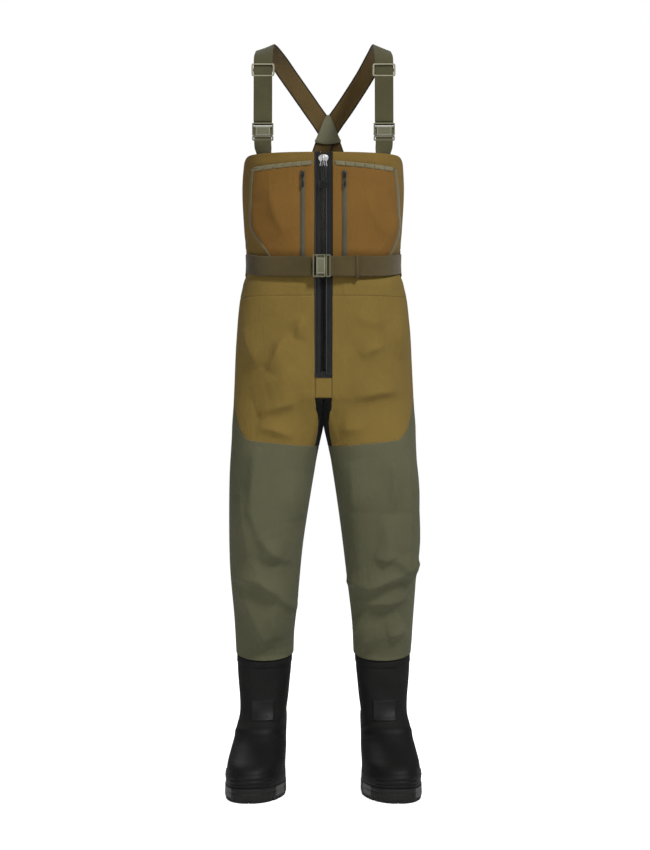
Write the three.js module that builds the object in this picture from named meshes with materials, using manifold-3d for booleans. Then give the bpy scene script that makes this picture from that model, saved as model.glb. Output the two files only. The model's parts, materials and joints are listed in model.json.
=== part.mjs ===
// Chest waders with bonded rubber boots: a laminate garment shell in sewn panels, a full-length
// waterproof front zip, two zipped chest pockets, a buckled wading belt, and X-back suspenders
// with slide adjusters and side-release buckles.
// Millimetres, +Z up, the wearer faces -Y. The origin is on the floor, midway between the boots.
// "right" and "left" are the wearer's, so right is at -X.
import * as THREE from 'three';
import { mergeVertices } from 'three/addons/utils/BufferGeometryUtils.js';
import Module from 'manifold-3d';

const wasm = await Module();
wasm.setup();

// ---- Driving dimensions --------------------------------------------------------------------
const GAP = 0.3;                 // clearance between pieces that touch
const FABRIC = 2.2;              // wall of the laminate shell with its seam tape
const HEM_Z = 268;               // leg hem, over the boot shaft
const LEG_LENGTH = 434;          // hem to the seam below the hip panels
const CROTCH_RISE = 24;          // that seam to the underside of the crotch
const BODY_RISE = 316;           // crotch to the middle of the belt
const WAIST_SEAM_DROP = 57;      // belt down to the seam of the hip panels
const BIB_HEIGHT = 225;          // belt up to the top edge of the bib
const SIDE_Y = 20;               // the torso's side seams
const FRONT_DEPTH = 105;         // side seam to the flat of the chest
const BACK_DEPTH = 112;          // side seam to the middle of the back
const CHEST_HALF_WIDTH = 158.5;
const WAIST_HALF_WIDTH = 152.5;
const HIP_HALF_WIDTH = 179;
const THIGH_SEAM_Z = HEM_Z + LEG_LENGTH;
const CROTCH_Z = THIGH_SEAM_Z + CROTCH_RISE;
const BELT_Z = CROTCH_Z + BODY_RISE;
const WAIST_SEAM_Z = BELT_Z - WAIST_SEAM_DROP;
const BIB_TOP_Z = BELT_Z + BIB_HEIGHT;

const ZIP_WIDTH = 34.4;
const ZIP_RISE = 100;            // crotch to the foot of the main zip
const ZIP_BOTTOM_Z = CROTCH_Z + ZIP_RISE;
const ZIP_TAPE = 1.2;            // thickness of the coated tape
const TOOTH_WIDTH = 3.4;
const TOOTH_DEPTH = 3.6;
const TOOTH_SPLIT = 1.6;         // slit between the two rows, which the slider's web runs in
const SLIDER_WIDTH = 19;
const SLIDER_LENGTH = 22;
const SLIDER_DEPTH = 3;
const PULL_LENGTH = 52;

const POCKET_ZIP_X = 41;
const POCKET_ZIP_WIDTH = 9;
const POCKET_DROP = 33;          // bib edge down to the pocket's top
const POCKET_INNER_MARGIN = 4.8; // main zip to the pocket's edge
const POCKET_SIDE_MARGIN = 19.5; // pocket's edge to the side of the chest
const POCKET_TOP_Z = BIB_TOP_Z - POCKET_DROP;
const POCKET_INNER_X = ZIP_WIDTH / 2 + POCKET_INNER_MARGIN;
const POCKET_OUTER_X = CHEST_HALF_WIDTH - POCKET_SIDE_MARGIN;
const POCKET_THICKNESS = 2;

const TRIM_WIDTH = 7;            // the loop tape across the chest
const TRIM_THICKNESS = 1.4;

const BELT_WIDTH = 40;
const BELT_THICKNESS = 2.2;
const BELT_STANDOFF = 13;        // front of the chest to the belt, which lets the zip slider pass
const BUCKLE_X = 4;              // the joint between the belt buckle's halves
const FRONT_STRAP_LENGTH = 58;   // belt between the male half and the end of its tail

const STRAP_WIDTH = 37;
const STRAP_THICKNESS = 2.2;
const STRAP_X = 120;             // middle of a front strap
const TAB_DEPTH = 29;            // how far the strap tab reaches down inside the bib
const SHOULDER_RISE = 223;       // bib edge to the top of the straps
const ADJUSTER_RISE = 168;
const CLASP_RISE = 36;           // bib edge to the joint between the buckle halves
const YOKE_RISE = 71;
const YOKE_X = 9;                // the yoke hangs a little off centre
const FOLD_RISE = 14;            // back edge to the crease where the suspenders fold back
const SHOULDER_Z = BIB_TOP_Z + SHOULDER_RISE;
const YOKE_Z = BIB_TOP_Z + YOKE_RISE;
const ADJUSTER_Z = BIB_TOP_Z + ADJUSTER_RISE;
const CLASP_Z = BIB_TOP_Z + CLASP_RISE;
const FOLD_Z = BIB_TOP_Z + FOLD_RISE;
const TAB_FOOT_Z = BIB_TOP_Z - TAB_DEPTH;
const BUCKLE_LENGTH = 25;        // female half
const BUCKLE_BASE = 10;          // male half's base
const BUCKLE_THICKNESS = 9;
const BUCKLE_MARGIN = 2.4;       // buckle frame beside the webbing
const BELT_TAIL_END_X = BUCKLE_X + BUCKLE_BASE + FRONT_STRAP_LENGTH;

const SOLE_LENGTH = 305;
const SOLE_THICKNESS = 28;
const BOOT_X = 122;              // middle of the boot at the ankle
const TOE_OUT = 0.1;             // sideways run of the foot's centre line for each mm forward
const BOOT_WALL = 5;
const FOXING_HEIGHT = 28;
const SOLE_EDGE = 3.5;           // how far the sole stands out past the upper
const BALL_HALF_WIDTH = 57;
const HEEL_HALF_WIDTH = 42.5;
const SHAFT_X = 119;             // middle of the boot's shaft at the hem
const SHAFT_Y = 69;
const SHAFT_HALF = 51;
const SHAFT_DEPTH = 122;
const HEM_EASE = 7;              // the hem's half width beyond the shaft's
const SHAFT_INSERT = 22;         // how far the shaft reaches up inside the leg
const SHAFT_TOP_Z = HEM_Z + SHAFT_INSERT;

// ---- Solids --------------------------------------------------------------------------------
const solidOf = (geometry) => {
  const bare = geometry.clone();
  bare.deleteAttribute('normal');
  bare.deleteAttribute('uv');
  const merged = mergeVertices(bare, 1e-4);
  const mesh = new wasm.Mesh({
    numProp: 3,
    vertProperties: merged.attributes.position.array,
    triVerts: new Uint32Array(merged.index.array),
  });
  return new wasm.Manifold(mesh);
};

const geometryOf = (solid) => {
  const mesh = solid.getMesh();
  const geometry = new THREE.BufferGeometry();
  geometry.setAttribute('position', new THREE.BufferAttribute(mesh.vertProperties, 3));
  geometry.setIndex(new THREE.BufferAttribute(mesh.triVerts, 1));
  geometry.computeVertexNormals();
  return geometry;
};

const box = (x0, x1, y0, y1, z0, z1) => {
  const geometry = new THREE.BoxGeometry(x1 - x0, y1 - y0, z1 - z0);
  return solidOf(geometry.translate((x0 + x1) / 2, (y0 + y1) / 2, (z0 + z1) / 2));
};

const joined = (solids) => solids.reduce((a, b) => a.add(b));

// A closed skin over rings of points. The rings run anticlockwise about the way they stack.
const loft = (rings) => {
  const sides = rings[0].length;
  const points = rings.flat();
  const middle = (ring) => ring.reduce((sum, p) => sum.add(p), new THREE.Vector3()).divideScalar(sides);
  const bottom = points.length;
  points.push(middle(rings[0]), middle(rings.at(-1)));
  const faces = [];
  for (let level = 0; level + 1 < rings.length; level += 1) {
    for (let i = 0; i < sides; i += 1) {
      const a = level * sides + i;
      const b = level * sides + ((i + 1) % sides);
      faces.push(a, b, b + sides, a, b + sides, a + sides);
    }
  }
  const last = (rings.length - 1) * sides;
  for (let i = 0; i < sides; i += 1) {
    const next = (i + 1) % sides;
    faces.push(bottom, next, i, bottom + 1, last + i, last + next);
  }
  const geometry = new THREE.BufferGeometry().setFromPoints(points);
  geometry.setIndex(faces);
  return solidOf(geometry);
};

// ---- Sections: two half superellipses that meet on the side seam ----------------------------
const ROUNDNESS = 2.4;
const power = (v, exponent = ROUNDNESS) => Math.sign(v) * Math.abs(v) ** (2 / exponent);

const sectionRing = (s, z, grow, sides) => {
  const ring = [];
  for (let i = 0; i < sides; i += 1) {
    const t = (2 * Math.PI * i) / sides;
    const depth = Math.sin(t) < 0 ? s.front : s.back;
    ring.push(new THREE.Vector3(
      s.x + (s.half + grow) * power(Math.cos(t)),
      s.y + (depth + grow) * power(Math.sin(t)),
      z,
    ));
  }
  return ring;
};

// Reads a list of stations, lowest first, at any height, by a cubic through its neighbours.
const stationAt = (stations, z) => {
  const k = Math.max(0, Math.min(stations.length - 2, stations.findIndex((s) => s.z > z) - 1));
  const i = z >= stations.at(-1).z ? stations.length - 2 : k;
  const [p0, p1, p2, p3] = [-1, 0, 1, 2].map(
    (step) => stations[Math.max(0, Math.min(stations.length - 1, i + step))],
  );
  const t = Math.max(0, Math.min(1, (z - p1.z) / (p2.z - p1.z)));
  const read = (key) => {
    const slope = (a, b) => (b.z === a.z ? 0 : ((b[key] - a[key]) / (b.z - a.z)) * (p2.z - p1.z));
    const m1 = slope(p0, p2);
    const m2 = slope(p1, p3);
    const t2 = t * t;
    const t3 = t2 * t;
    return (2 * t3 - 3 * t2 + 1) * p1[key] + (t3 - 2 * t2 + t) * m1
      + (3 * t2 - 2 * t3) * p2[key] + (t3 - t2) * m2;
  };
  return Object.fromEntries(Object.keys(p1).map((key) => [key, read(key)]));
};

const levels = (low, high, count) => Array.from(
  { length: count + 1 },
  (_, i) => low + ((high - low) * i) / count,
);

// ---- The garment's shape -------------------------------------------------------------------
const torsoStation = (z, half, front, back) => ({
  z, x: 0, y: SIDE_Y, half, front: FRONT_DEPTH + front, back: BACK_DEPTH + back,
});
const TORSO = [
  torsoStation(CROTCH_Z, HIP_HALF_WIDTH + 5, -11, -4),
  torsoStation(CROTCH_Z + ZIP_RISE * 0.55, HIP_HALF_WIDTH + 2, -4, 6),
  torsoStation(ZIP_BOTTOM_Z - 8, HIP_HALF_WIDTH, 0, 10),
  torsoStation(BELT_Z - BODY_RISE * 0.45, HIP_HALF_WIDTH - 4, 0, 8),
  torsoStation(WAIST_SEAM_Z, WAIST_HALF_WIDTH + 15.5, 0, -4),
  torsoStation(BELT_Z, WAIST_HALF_WIDTH, 0, -15),
  torsoStation(BELT_Z + BIB_HEIGHT * 0.35, CHEST_HALF_WIDTH - 0.5, 0, -6),
  torsoStation(BELT_Z + BIB_HEIGHT * 0.7, CHEST_HALF_WIDTH + 3.5, 0, 0),
  torsoStation(BIB_TOP_Z, CHEST_HALF_WIDTH, 0, 0),
];

const legStation = (z, x, half, y, front, back) => ({ z, x, y, half, front, back });
const upLeg = (share) => HEM_Z + LEG_LENGTH * share;
const outer = (half, inset) => HIP_HALF_WIDTH + inset - half;   // the leg's middle, from its outer side
const LEG = [
  legStation(HEM_Z, SHAFT_X, SHAFT_HALF + HEM_EASE, SHAFT_Y, SHAFT_DEPTH / 2 + 6, SHAFT_DEPTH / 2 + 5),
  legStation(upLeg(0.15), SHAFT_X - 0.5, SHAFT_HALF + HEM_EASE + 3.5, 52, 70, 76),
  legStation(upLeg(0.37), outer(69.5, 7), 69.5, 28, 76, 82),
  legStation(upLeg(0.59), outer(76.5, 10), 76.5, SIDE_Y, 84, 82),
  legStation(upLeg(0.81), outer(83.5, 9), 83.5, SIDE_Y, 86, 90),
  legStation(THIGH_SEAM_Z, outer(88, 6), 88, SIDE_Y, FRONT_DEPTH - 14, BACK_DEPTH - 10),
  legStation(CROTCH_Z + 16, outer(89, 5), 89, SIDE_Y, FRONT_DEPTH - 12, BACK_DEPTH - 4),
  legStation(CROTCH_Z + 74, outer(86, -1), 86, SIDE_Y, FRONT_DEPTH - 17, BACK_DEPTH - 4),
];

const TORSO_SIDES = 32;
const LEG_SIDES = 20;
const mirrored = (side, ring) => {
  const turned = ring.map((p) => new THREE.Vector3(side * p.x, p.y, p.z));
  return side < 0 ? turned.reverse() : turned;
};

// Every skin is lofted over the same levels, so two skins with different growth stay parallel.
const BEYOND = 2;                // how far a cut runs past the face that it opens
const FAR = 2000;
const torsoLevels = levels(CROTCH_Z, BIB_TOP_Z + BEYOND, 11);
const legLevels = levels(HEM_Z - BEYOND, LEG.at(-1).z, 10);
const between = (solid, low, high) => solid.intersect(box(-FAR, FAR, -FAR, FAR, low, high));
const torsoSkin = (grow, standoff = 0) => loft(torsoLevels.map((z) => {
  const s = stationAt(TORSO, z);
  return sectionRing({ ...s, front: s.front + standoff }, z, grow, TORSO_SIDES);
}));
const legSkin = (side, grow) => loft(
  legLevels.map((z) => mirrored(side, sectionRing(stationAt(LEG, z), z, grow, LEG_SIDES))),
);

const SIDES = [-1, 1];
const sideName = (side) => (side < 0 ? 'right' : 'left');

const garmentOuter = joined([torsoSkin(0), ...SIDES.map((side) => legSkin(side, 0))]);
const garmentInner = joined([
  between(torsoSkin(-FABRIC), CROTCH_Z + FABRIC, FAR),
  ...SIDES.map((side) => legSkin(side, -FABRIC)),
]);
const garmentShell = between(garmentOuter.subtract(garmentInner), HEM_Z, BIB_TOP_Z);

const zipSlot = box(-ZIP_WIDTH / 2 - GAP, ZIP_WIDTH / 2 + GAP, -FAR, 0, ZIP_BOTTOM_Z - GAP, FAR);
const GUSSET = { half: 26, front: SIDE_Y - 60, back: SIDE_Y + 70, top: CROTCH_Z + 34 };
const gussetBlock = (grow) => box(
  -GUSSET.half - grow, GUSSET.half + grow, GUSSET.front - grow, GUSSET.back + grow,
  THIGH_SEAM_Z + GAP / 2, GUSSET.top + grow,
);

// ---- Assembly ------------------------------------------------------------------------------
const waders = new THREE.Group();
const finish = (color, roughness, metalness = 0) => new THREE.MeshStandardMaterial({
  color, roughness, metalness,
});
const material = {
  bib: finish(0x7b5a2e, 0.8),
  hip: finish(0x7d6837, 0.8),
  leg: finish(0x5c5b45, 0.8),
  zipRubber: finish(0x262928, 0.4),
  teeth: finish(0x1c1d1d, 0.35),
  nickel: finish(0xcbcacb, 0.25, 1),
  beltWeb: finish(0x584e30, 0.85),
  strapWeb: finish(0x4a4831, 0.85),
  strapLining: finish(0x645230, 0.85),
  buckle: finish(0x65644f, 0.5),
  trim: finish(0x6b654a, 0.7),
  neoprene: finish(0x232323, 0.7),
  bootRubber: finish(0x282828, 0.5),
};
const add = (name, solid, mat, parent = waders) => {
  const mesh = new THREE.Mesh(geometryOf(solid), mat.clone());
  mesh.name = name;
  parent.add(mesh);
  return mesh;
};

// Bib, hip, seat and gusset panels, cut from the shell along their seams.
const seam = GAP / 2;
for (const side of SIDES) {
  const [x0, x1] = side < 0 ? [-FAR, -seam] : [seam, FAR];
  const front = (low, high) => garmentShell
    .intersect(box(x0, x1, -FAR, SIDE_Y - seam, low + seam, high - seam))
    .subtract(zipSlot);
  add(`bib_front_${sideName(side)}`, front(WAIST_SEAM_Z, FAR), material.bib);
  add(
    `hip_front_${sideName(side)}`,
    front(THIGH_SEAM_Z, WAIST_SEAM_Z).subtract(gussetBlock(GAP)),
    material.hip,
  );
  add(
    `leg_${sideName(side)}`,
    garmentShell.intersect(box(x0, x1, -FAR, FAR, 0, THIGH_SEAM_Z - seam)),
    material.leg,
  );
}
const behind = (low, high) => garmentShell.intersect(
  box(-FAR, FAR, SIDE_Y + seam, FAR, low + seam, high - seam),
);
add('bib_back', behind(WAIST_SEAM_Z, FAR), material.hip);
add('seat_back', behind(THIGH_SEAM_Z, WAIST_SEAM_Z).subtract(gussetBlock(GAP)), material.hip);
add('crotch_gusset', garmentShell.intersect(gussetBlock(0)), material.leg);

// A band that follows the torso between two distances from it. The standoff carries it clear of
// the chest and fades out towards the side seams.
const band = (inner, outer, low, high, standoff = 0) => between(
  torsoSkin(outer, standoff).subtract(torsoSkin(inner, standoff)),
  low,
  high,
);

// ---- Main zip --------------------------------------------------------------------------------
const CHEST_Y = SIDE_Y - FRONT_DEPTH;
const zip = new THREE.Group();
zip.position.y = CHEST_Y;
waders.add(zip);
const tapeFront = 0.1;
const toothOuter = TOOTH_SPLIT / 2 + TOOTH_WIDTH;
const toothFront = tapeFront + ZIP_TAPE / 2 - TOOTH_DEPTH / 2;
for (const side of SIDES) {
  const span = (a, b) => (side < 0 ? [-b, -a] : [a, b]);
  const tape = box(
    ...span(toothOuter + GAP, ZIP_WIDTH / 2),
    tapeFront, tapeFront + ZIP_TAPE,
    ZIP_BOTTOM_Z, BIB_TOP_Z,
  );
  add(`zip_tape_${sideName(side)}`, tape, material.zipRubber, zip);
  const teeth = box(
    ...span(TOOTH_SPLIT / 2, toothOuter),
    toothFront, toothFront + TOOTH_DEPTH,
    ZIP_BOTTOM_Z + 12, BIB_TOP_Z - 3,
  );
  add(`zip_teeth_${sideName(side)}`, teeth, material.teeth, zip);
}
// The dock that the zip seals into when it is fully open.
const dockTop = ZIP_BOTTOM_Z + 12 - GAP;
const dock = box(
  -toothOuter, toothOuter,
  toothFront - 1, toothFront + TOOTH_DEPTH,
  ZIP_BOTTOM_Z, dockTop,
);
add('zip_bottom_dock', dock, material.zipRubber, zip);

// Slider: a front and a back plate joined by a web that runs in the slit between the rows.
const PLATE_GAP = 0.5;
const sliderTop = BIB_TOP_Z - 6;
const plateFront = toothFront - PLATE_GAP - SLIDER_DEPTH;
const plateBack = toothFront + TOOTH_DEPTH + PLATE_GAP;
const sliderShape = new THREE.Shape();
sliderShape.moveTo(-SLIDER_WIDTH / 2, -6);
sliderShape.quadraticCurveTo(-SLIDER_WIDTH / 2, 0, 0, 0);
sliderShape.quadraticCurveTo(SLIDER_WIDTH / 2, 0, SLIDER_WIDTH / 2, -6);
sliderShape.lineTo(SLIDER_WIDTH * 0.28, -SLIDER_LENGTH);
sliderShape.lineTo(-SLIDER_WIDTH * 0.28, -SLIDER_LENGTH);
sliderShape.closePath();
const uprightPlate = (shape, depth) => {
  const geometry = new THREE.ExtrudeGeometry(shape, { depth, bevelEnabled: false, curveSegments: 4 });
  return solidOf(geometry.rotateX(Math.PI / 2).translate(0, depth, 0));
};
const BAIL = { half: 1.6, length: 11, rise: 4.4, bar: 1.4 };
const bailOuter = box(
  -BAIL.half, BAIL.half, plateFront - BAIL.rise, plateFront + 0.5, -4 - BAIL.length, -4,
);
const bailHole = box(
  -FAR, FAR,
  plateFront - BAIL.rise + BAIL.bar, plateFront - 0.05,
  -4 - BAIL.length + BAIL.bar, -4 - BAIL.bar,
);
const slider = joined([
  uprightPlate(sliderShape, SLIDER_DEPTH).translate(0, plateFront, 0),
  uprightPlate(sliderShape, 2).translate(0, plateBack, 0),
  box(
    -TOOTH_SPLIT / 2 + 0.35, TOOTH_SPLIT / 2 - 0.35,
    plateFront + 1, plateBack + 1,
    -SLIDER_LENGTH + 1, -5,
  ),
  bailOuter.subtract(bailHole),
]).translate(0, 0, sliderTop);
add('zip_slider', slider, material.nickel, zip);

// Pull: a narrow webbing loop through the bail, with a moulded grip. It hangs on its cross bar.
const PULL_BAR = 1.2;
const PULL_CLEAR = 0.35;         // the square bar turns inside the bail
const pullY = plateFront - BAIL.rise + BAIL.bar + PULL_BAR / 2 + PULL_CLEAR;
const pullZ = sliderTop - 4 - BAIL.length + BAIL.bar + PULL_BAR / 2 + PULL_CLEAR;
const pull = new THREE.Group();
pull.position.set(0, pullY, pullZ);
zip.add(pull);
const PULL_HALF = 4.4;
const GRIP = { half: 8.5, height: 13, thickness: 4 };
const gripTop = -PULL_LENGTH + GRIP.height;
const pullLoop = joined([
  box(-PULL_HALF, PULL_HALF, -PULL_BAR / 2, PULL_BAR / 2, -PULL_BAR / 2, PULL_BAR / 2),
  ...SIDES.map((side) => box(
    side * PULL_HALF - 1.5, side * PULL_HALF + 1.5,
    -PULL_BAR / 2, PULL_BAR / 2,
    gripTop + GAP, PULL_BAR / 2,
  )),
]);
add('zip_pull_strap', pullLoop, material.zipRubber, pull);
const gripRound = new THREE.Shape();
gripRound.absarc(GRIP.half - 2, -2, 2, 0, Math.PI / 2);
gripRound.absarc(-GRIP.half + 2, -2, 2, Math.PI / 2, Math.PI);
gripRound.absarc(-GRIP.half + 2, -GRIP.height + 2, 2, Math.PI, 1.5 * Math.PI);
gripRound.absarc(GRIP.half - 2, -GRIP.height + 2, 2, 1.5 * Math.PI, 2 * Math.PI);
add(
  'zip_pull_grip',
  uprightPlate(gripRound, GRIP.thickness).translate(0, -GRIP.thickness / 2, gripTop),
  material.zipRubber,
  pull,
);

// ---- Chest pockets and loop tape -------------------------------------------------------------
const onTorso = (x, z, standoff = 0) => {
  const s = stationAt(TORSO, z);
  const f = (1 - (Math.abs(x) / s.half) ** ROUNDNESS) ** (1 / ROUNDNESS);
  const step = 0.5;
  const g = (1 - ((Math.abs(x) + step) / s.half) ** ROUNDNESS) ** (1 / ROUNDNESS);
  const turn = Math.atan2(s.front * (f - g), step) * Math.sign(x);
  return { y: s.y - s.front * f - standoff, turn };
};
const beltInner = 0.6;
const beltTop = BELT_Z + BELT_WIDTH / 2;
const pocketBottom = beltTop - 8;
for (const side of SIDES) {
  const span = (a, b) => (side < 0 ? [-b, -a] : [a, b]);
  const panel = band(GAP, GAP + POCKET_THICKNESS, pocketBottom, POCKET_TOP_Z)
    .intersect(box(...span(POCKET_INNER_X, POCKET_OUTER_X), -FAR, 0, 0, FAR));
  add(`pocket_panel_${sideName(side)}`, panel, material.bib);

  const seat = onTorso(side * POCKET_ZIP_X, POCKET_TOP_Z, GAP + POCKET_THICKNESS);
  const pocketZip = new THREE.Group();
  pocketZip.position.set(side * POCKET_ZIP_X, seat.y, POCKET_TOP_Z - 4);
  pocketZip.rotation.z = seat.turn;
  waders.add(pocketZip);
  const length = POCKET_TOP_Z - 4 - beltTop;
  const lift = 0.8; // the panel is faceted, so the tape stands a little off it
  const chain = joined([
    box(-POCKET_ZIP_WIDTH / 2, POCKET_ZIP_WIDTH / 2, -lift - 1, -lift, -length, 0),
    box(-1.6, 1.6, -lift - 2, -lift - 0.5, -length, -2),
  ]);
  add(`pocket_zip_${sideName(side)}`, chain, material.trim, pocketZip);

  const chainFront = -lift - 2;
  const cap = box(-3.2, 3.2, chainFront - 2, chainFront - GAP, -12, -2);
  const cheeks = SIDES.map((s) => box(
    s * 2.6 - 0.6, s * 2.6 + 0.6, chainFront - 1, -lift - 1 - GAP, -12, -2,
  ));
  const ringHole = box(-FAR, FAR, chainFront - 3.9, chainFront - 2.2, -9.2, -5.2);
  const eye = box(-0.9, 0.9, chainFront - 4.8, chainFront - 1.5, -10.2, -4.2).subtract(ringHole);
  add(`pocket_slider_${sideName(side)}`, joined([cap, ...cheeks, eye]), material.nickel, pocketZip);

  const tab = new THREE.Group();
  tab.position.set(0, chainFront - 3.05, -8.1);
  pocketZip.add(tab);
  const loop = joined([
    box(-2.6, 2.6, -0.5, 0.5, -0.5, 0.5),
    ...SIDES.map((s) => box(s * 2 - 0.6, s * 2 + 0.6, -0.5, 0.5, -12, 0.5)),
    box(-2.6, 2.6, -0.5, 0.5, -26, -11.5),
  ]);
  add(`pocket_pull_${sideName(side)}`, loop, material.nickel, tab);

  const trimZ = POCKET_TOP_Z + 3;
  const trim = band(GAP, GAP + TRIM_THICKNESS, trimZ, trimZ + TRIM_WIDTH)
    .intersect(box(...span(POCKET_INNER_X + 2, POCKET_OUTER_X - 4), -FAR, 0, 0, FAR));
  add(`chest_loop_tape_${sideName(side)}`, trim, material.trim);
}

// ---- Side-release buckle ---------------------------------------------------------------------
// Local frame: the male half leaves along +X, the width is along Z and the front is -Y.
const BUCKLE_WALL = 1.8;
const SLOT = 4;                  // webbing slot
const BAR = 2.6;                 // webbing bar at each end
const BAR_DEPTH = 3;             // the bars are thinner than the buckle
const PRONG = { reach: BUCKLE_LENGTH - BAR - SLOT - 0.9, thickness: 4.4, clear: 0.5 };
// What is cut away round a bar that ends at x and faces away from the buckle along `away`.
const barCut = (x, away, inside) => {
  const inward = x - away * (BAR + SLOT);
  const outward = x + away * BEYOND;
  const across = (a, b, y0, y1) => box(Math.min(a, b), Math.max(a, b), y0, y1, -inside, inside);
  return joined([
    across(inward, x - away * BAR, -FAR, FAR),
    across(inward, outward, -FAR, -BAR_DEPTH / 2),
    across(inward, outward, BAR_DEPTH / 2, FAR),
  ]);
};
const femaleHalf = (width) => {
  const half = width / 2;
  const inside = half - BUCKLE_WALL;
  const t = BUCKLE_THICKNESS / 2;
  const throat = PRONG.thickness / 2 + PRONG.clear;
  const throatEnd = -PRONG.reach - 0.6;
  return box(-BUCKLE_LENGTH, 0, -t, t, -half, half)
    .subtract(barCut(-BUCKLE_LENGTH, -1, inside))
    .subtract(box(throatEnd, 1, -throat, throat, -inside, inside))
    .subtract(box(-14, -5, -throat, throat, -FAR, FAR))
    .add(box(-17, -3, -t - 0.8, -t + 0.1, -half + 6, half - 6));
};
const maleHalf = (width) => {
  const half = width / 2;
  const t = BUCKLE_THICKNESS / 2 - 0.6;
  const p = PRONG.thickness / 2;
  const inner = half - BUCKLE_WALL - PRONG.clear;
  const base = box(GAP, BUCKLE_BASE, -t, t, -half, half)
    .subtract(barCut(BUCKLE_BASE, 1, half - BUCKLE_WALL));
  const arms = SIDES.flatMap((side) => {
    const across = (a, b) => (side < 0 ? [-b, -a] : [a, b]);
    return [
      box(-PRONG.reach, 1, -p, p, ...across(inner - 6.6, inner - 3.4)),
      box(-13, -6.5, -p, p, ...across(inner - 4, inner + 0.25)),
    ];
  });
  return joined([base, ...arms, box(-PRONG.reach + 3, 1, -p, p, -2.5, 2.5)]);
};
// Webbing that turns round a buckle's bar: its section is drawn round the bar and extruded
// over the width of the webbing.
// The tail leaves along -X and ends `drop` further back.
const loopSolid = (webWidth, thickness, tail, drop = 0) => {
  const inX = BAR / 2 + GAP;
  const inY = BAR_DEPTH / 2 + GAP;
  const half = thickness / 2;
  const outline = new THREE.Shape();
  outline.moveTo(-tail, drop - half);
  outline.lineTo(-inX - thickness * 1.5, -half);
  outline.lineTo(-inX - half, -inY - thickness);
  outline.lineTo(inX + half, -inY - thickness);
  outline.lineTo(inX + thickness, -inY);
  outline.lineTo(inX + thickness, inY);
  outline.lineTo(inX + half, inY + thickness);
  outline.lineTo(-inX - half, inY + thickness);
  outline.lineTo(-inX - thickness * 1.5, half);
  outline.lineTo(-tail, drop + half);
  outline.closePath();
  const hole = new THREE.Path();
  hole.moveTo(-inX, -inY);
  hole.lineTo(-inX, inY);
  hole.lineTo(inX, inY);
  hole.lineTo(inX, -inY);
  hole.closePath();
  outline.holes.push(hole);
  const geometry = new THREE.ExtrudeGeometry(outline, { depth: webWidth, bevelEnabled: false });
  return solidOf(geometry.translate(0, 0, -webWidth / 2));
};

// ---- Belt --------------------------------------------------------------------------------------
const beltBuckleWidth = BELT_WIDTH + 2 * BUCKLE_MARGIN - 0.4;
const webHalf = BELT_WIDTH / 2;
const ringOuter = BELT_STANDOFF - 1;              // the webbing round the back lies under the front strap
const strapInner = ringOuter + 1.6;
const beltY = CHEST_Y - strapInner - BELT_THICKNESS / 2;
const beltBuckle = new THREE.Group();
beltBuckle.position.set(BUCKLE_X, beltY, BELT_Z);
waders.add(beltBuckle);
add('belt_buckle_female', femaleHalf(beltBuckleWidth), material.buckle, beltBuckle);
add('belt_buckle_male', maleHalf(beltBuckleWidth), material.buckle, beltBuckle);

const loopWeb = BELT_THICKNESS - 0.6;
const femaleBarX = BUCKLE_X - BUCKLE_LENGTH + BAR / 2;
const ringStandoff = ringOuter - BELT_THICKNESS - beltInner;
const ringMiddle = CHEST_Y - ringOuter + BELT_THICKNESS / 2;
const beltOuter = beltInner + BELT_THICKNESS;
const beltRing = band(beltInner, beltOuter, BELT_Z - webHalf, BELT_Z + webHalf, ringStandoff)
  .subtract(box(femaleBarX - 12, BELT_TAIL_END_X - 24, -FAR, 0, 0, FAR));
const fixedLoop = loopSolid(BELT_WIDTH - 1.2, loopWeb, 15, ringMiddle - beltY)
  .translate(femaleBarX, beltY, BELT_Z);
add('belt_webbing', joined([beltRing, fixedLoop]), material.beltWeb);

const maleBarX = BUCKLE_X + BUCKLE_BASE - BAR / 2;
const tailLoop = loopSolid(BELT_WIDTH - 1.2, loopWeb, 12)
  .mirror([1, 0, 0])
  .translate(maleBarX, beltY, BELT_Z);
const frontBand = (inner, outer, reach, x0, x1) => band(
  beltInner, beltInner + outer - inner, BELT_Z - reach, BELT_Z + reach, inner - beltInner,
).intersect(box(x0, x1, -FAR, 0, 0, FAR));
const strapOuter = strapInner + BELT_THICKNESS;
const frontStrap = frontBand(strapInner, strapOuter, webHalf, maleBarX + 9, BELT_TAIL_END_X);
add('belt_front_strap', joined([tailLoop, frontStrap]), material.beltWeb);
const keeperX = BELT_TAIL_END_X - 9;
const keeperReach = webHalf + GAP;
const keeper = frontBand(
  strapInner - GAP - 0.9, strapOuter + GAP + 1.3, keeperReach + 1.4, keeperX, keeperX + 6,
).subtract(frontBand(
  strapInner - GAP, strapOuter + GAP, keeperReach, keeperX - 1, keeperX + 7,
));
add('belt_keeper', keeper, material.beltWeb);

// Loops that carry the belt, sewn to the bib above and below it.
const LOOP_WIDTH = 16;
const loopReach = beltInner + BELT_THICKNESS + GAP;
const loopHigh = webHalf + 9;
const loopBlock = band(GAP, loopReach + 1.6, BELT_Z - loopHigh, BELT_Z + loopHigh);
const beltPath = band(0, loopReach, BELT_Z - webHalf - GAP, BELT_Z + webHalf + GAP);
const loopBody = loopBlock.subtract(beltPath);
for (const side of SIDES) {
  const span = side < 0 ? [-FAR, -100] : [100, FAR];
  const y = SIDE_Y + 24;
  add(
    `belt_loop_${sideName(side)}`,
    loopBody.intersect(box(...span, y - LOOP_WIDTH / 2, y + LOOP_WIDTH / 2, 0, FAR)),
    material.hip,
  );
}
const middleLoop = loopBody.intersect(box(-LOOP_WIDTH / 2, LOOP_WIDTH / 2, SIDE_Y, FAR, 0, FAR));
add('belt_loop_back', middleLoop, material.hip);

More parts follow.
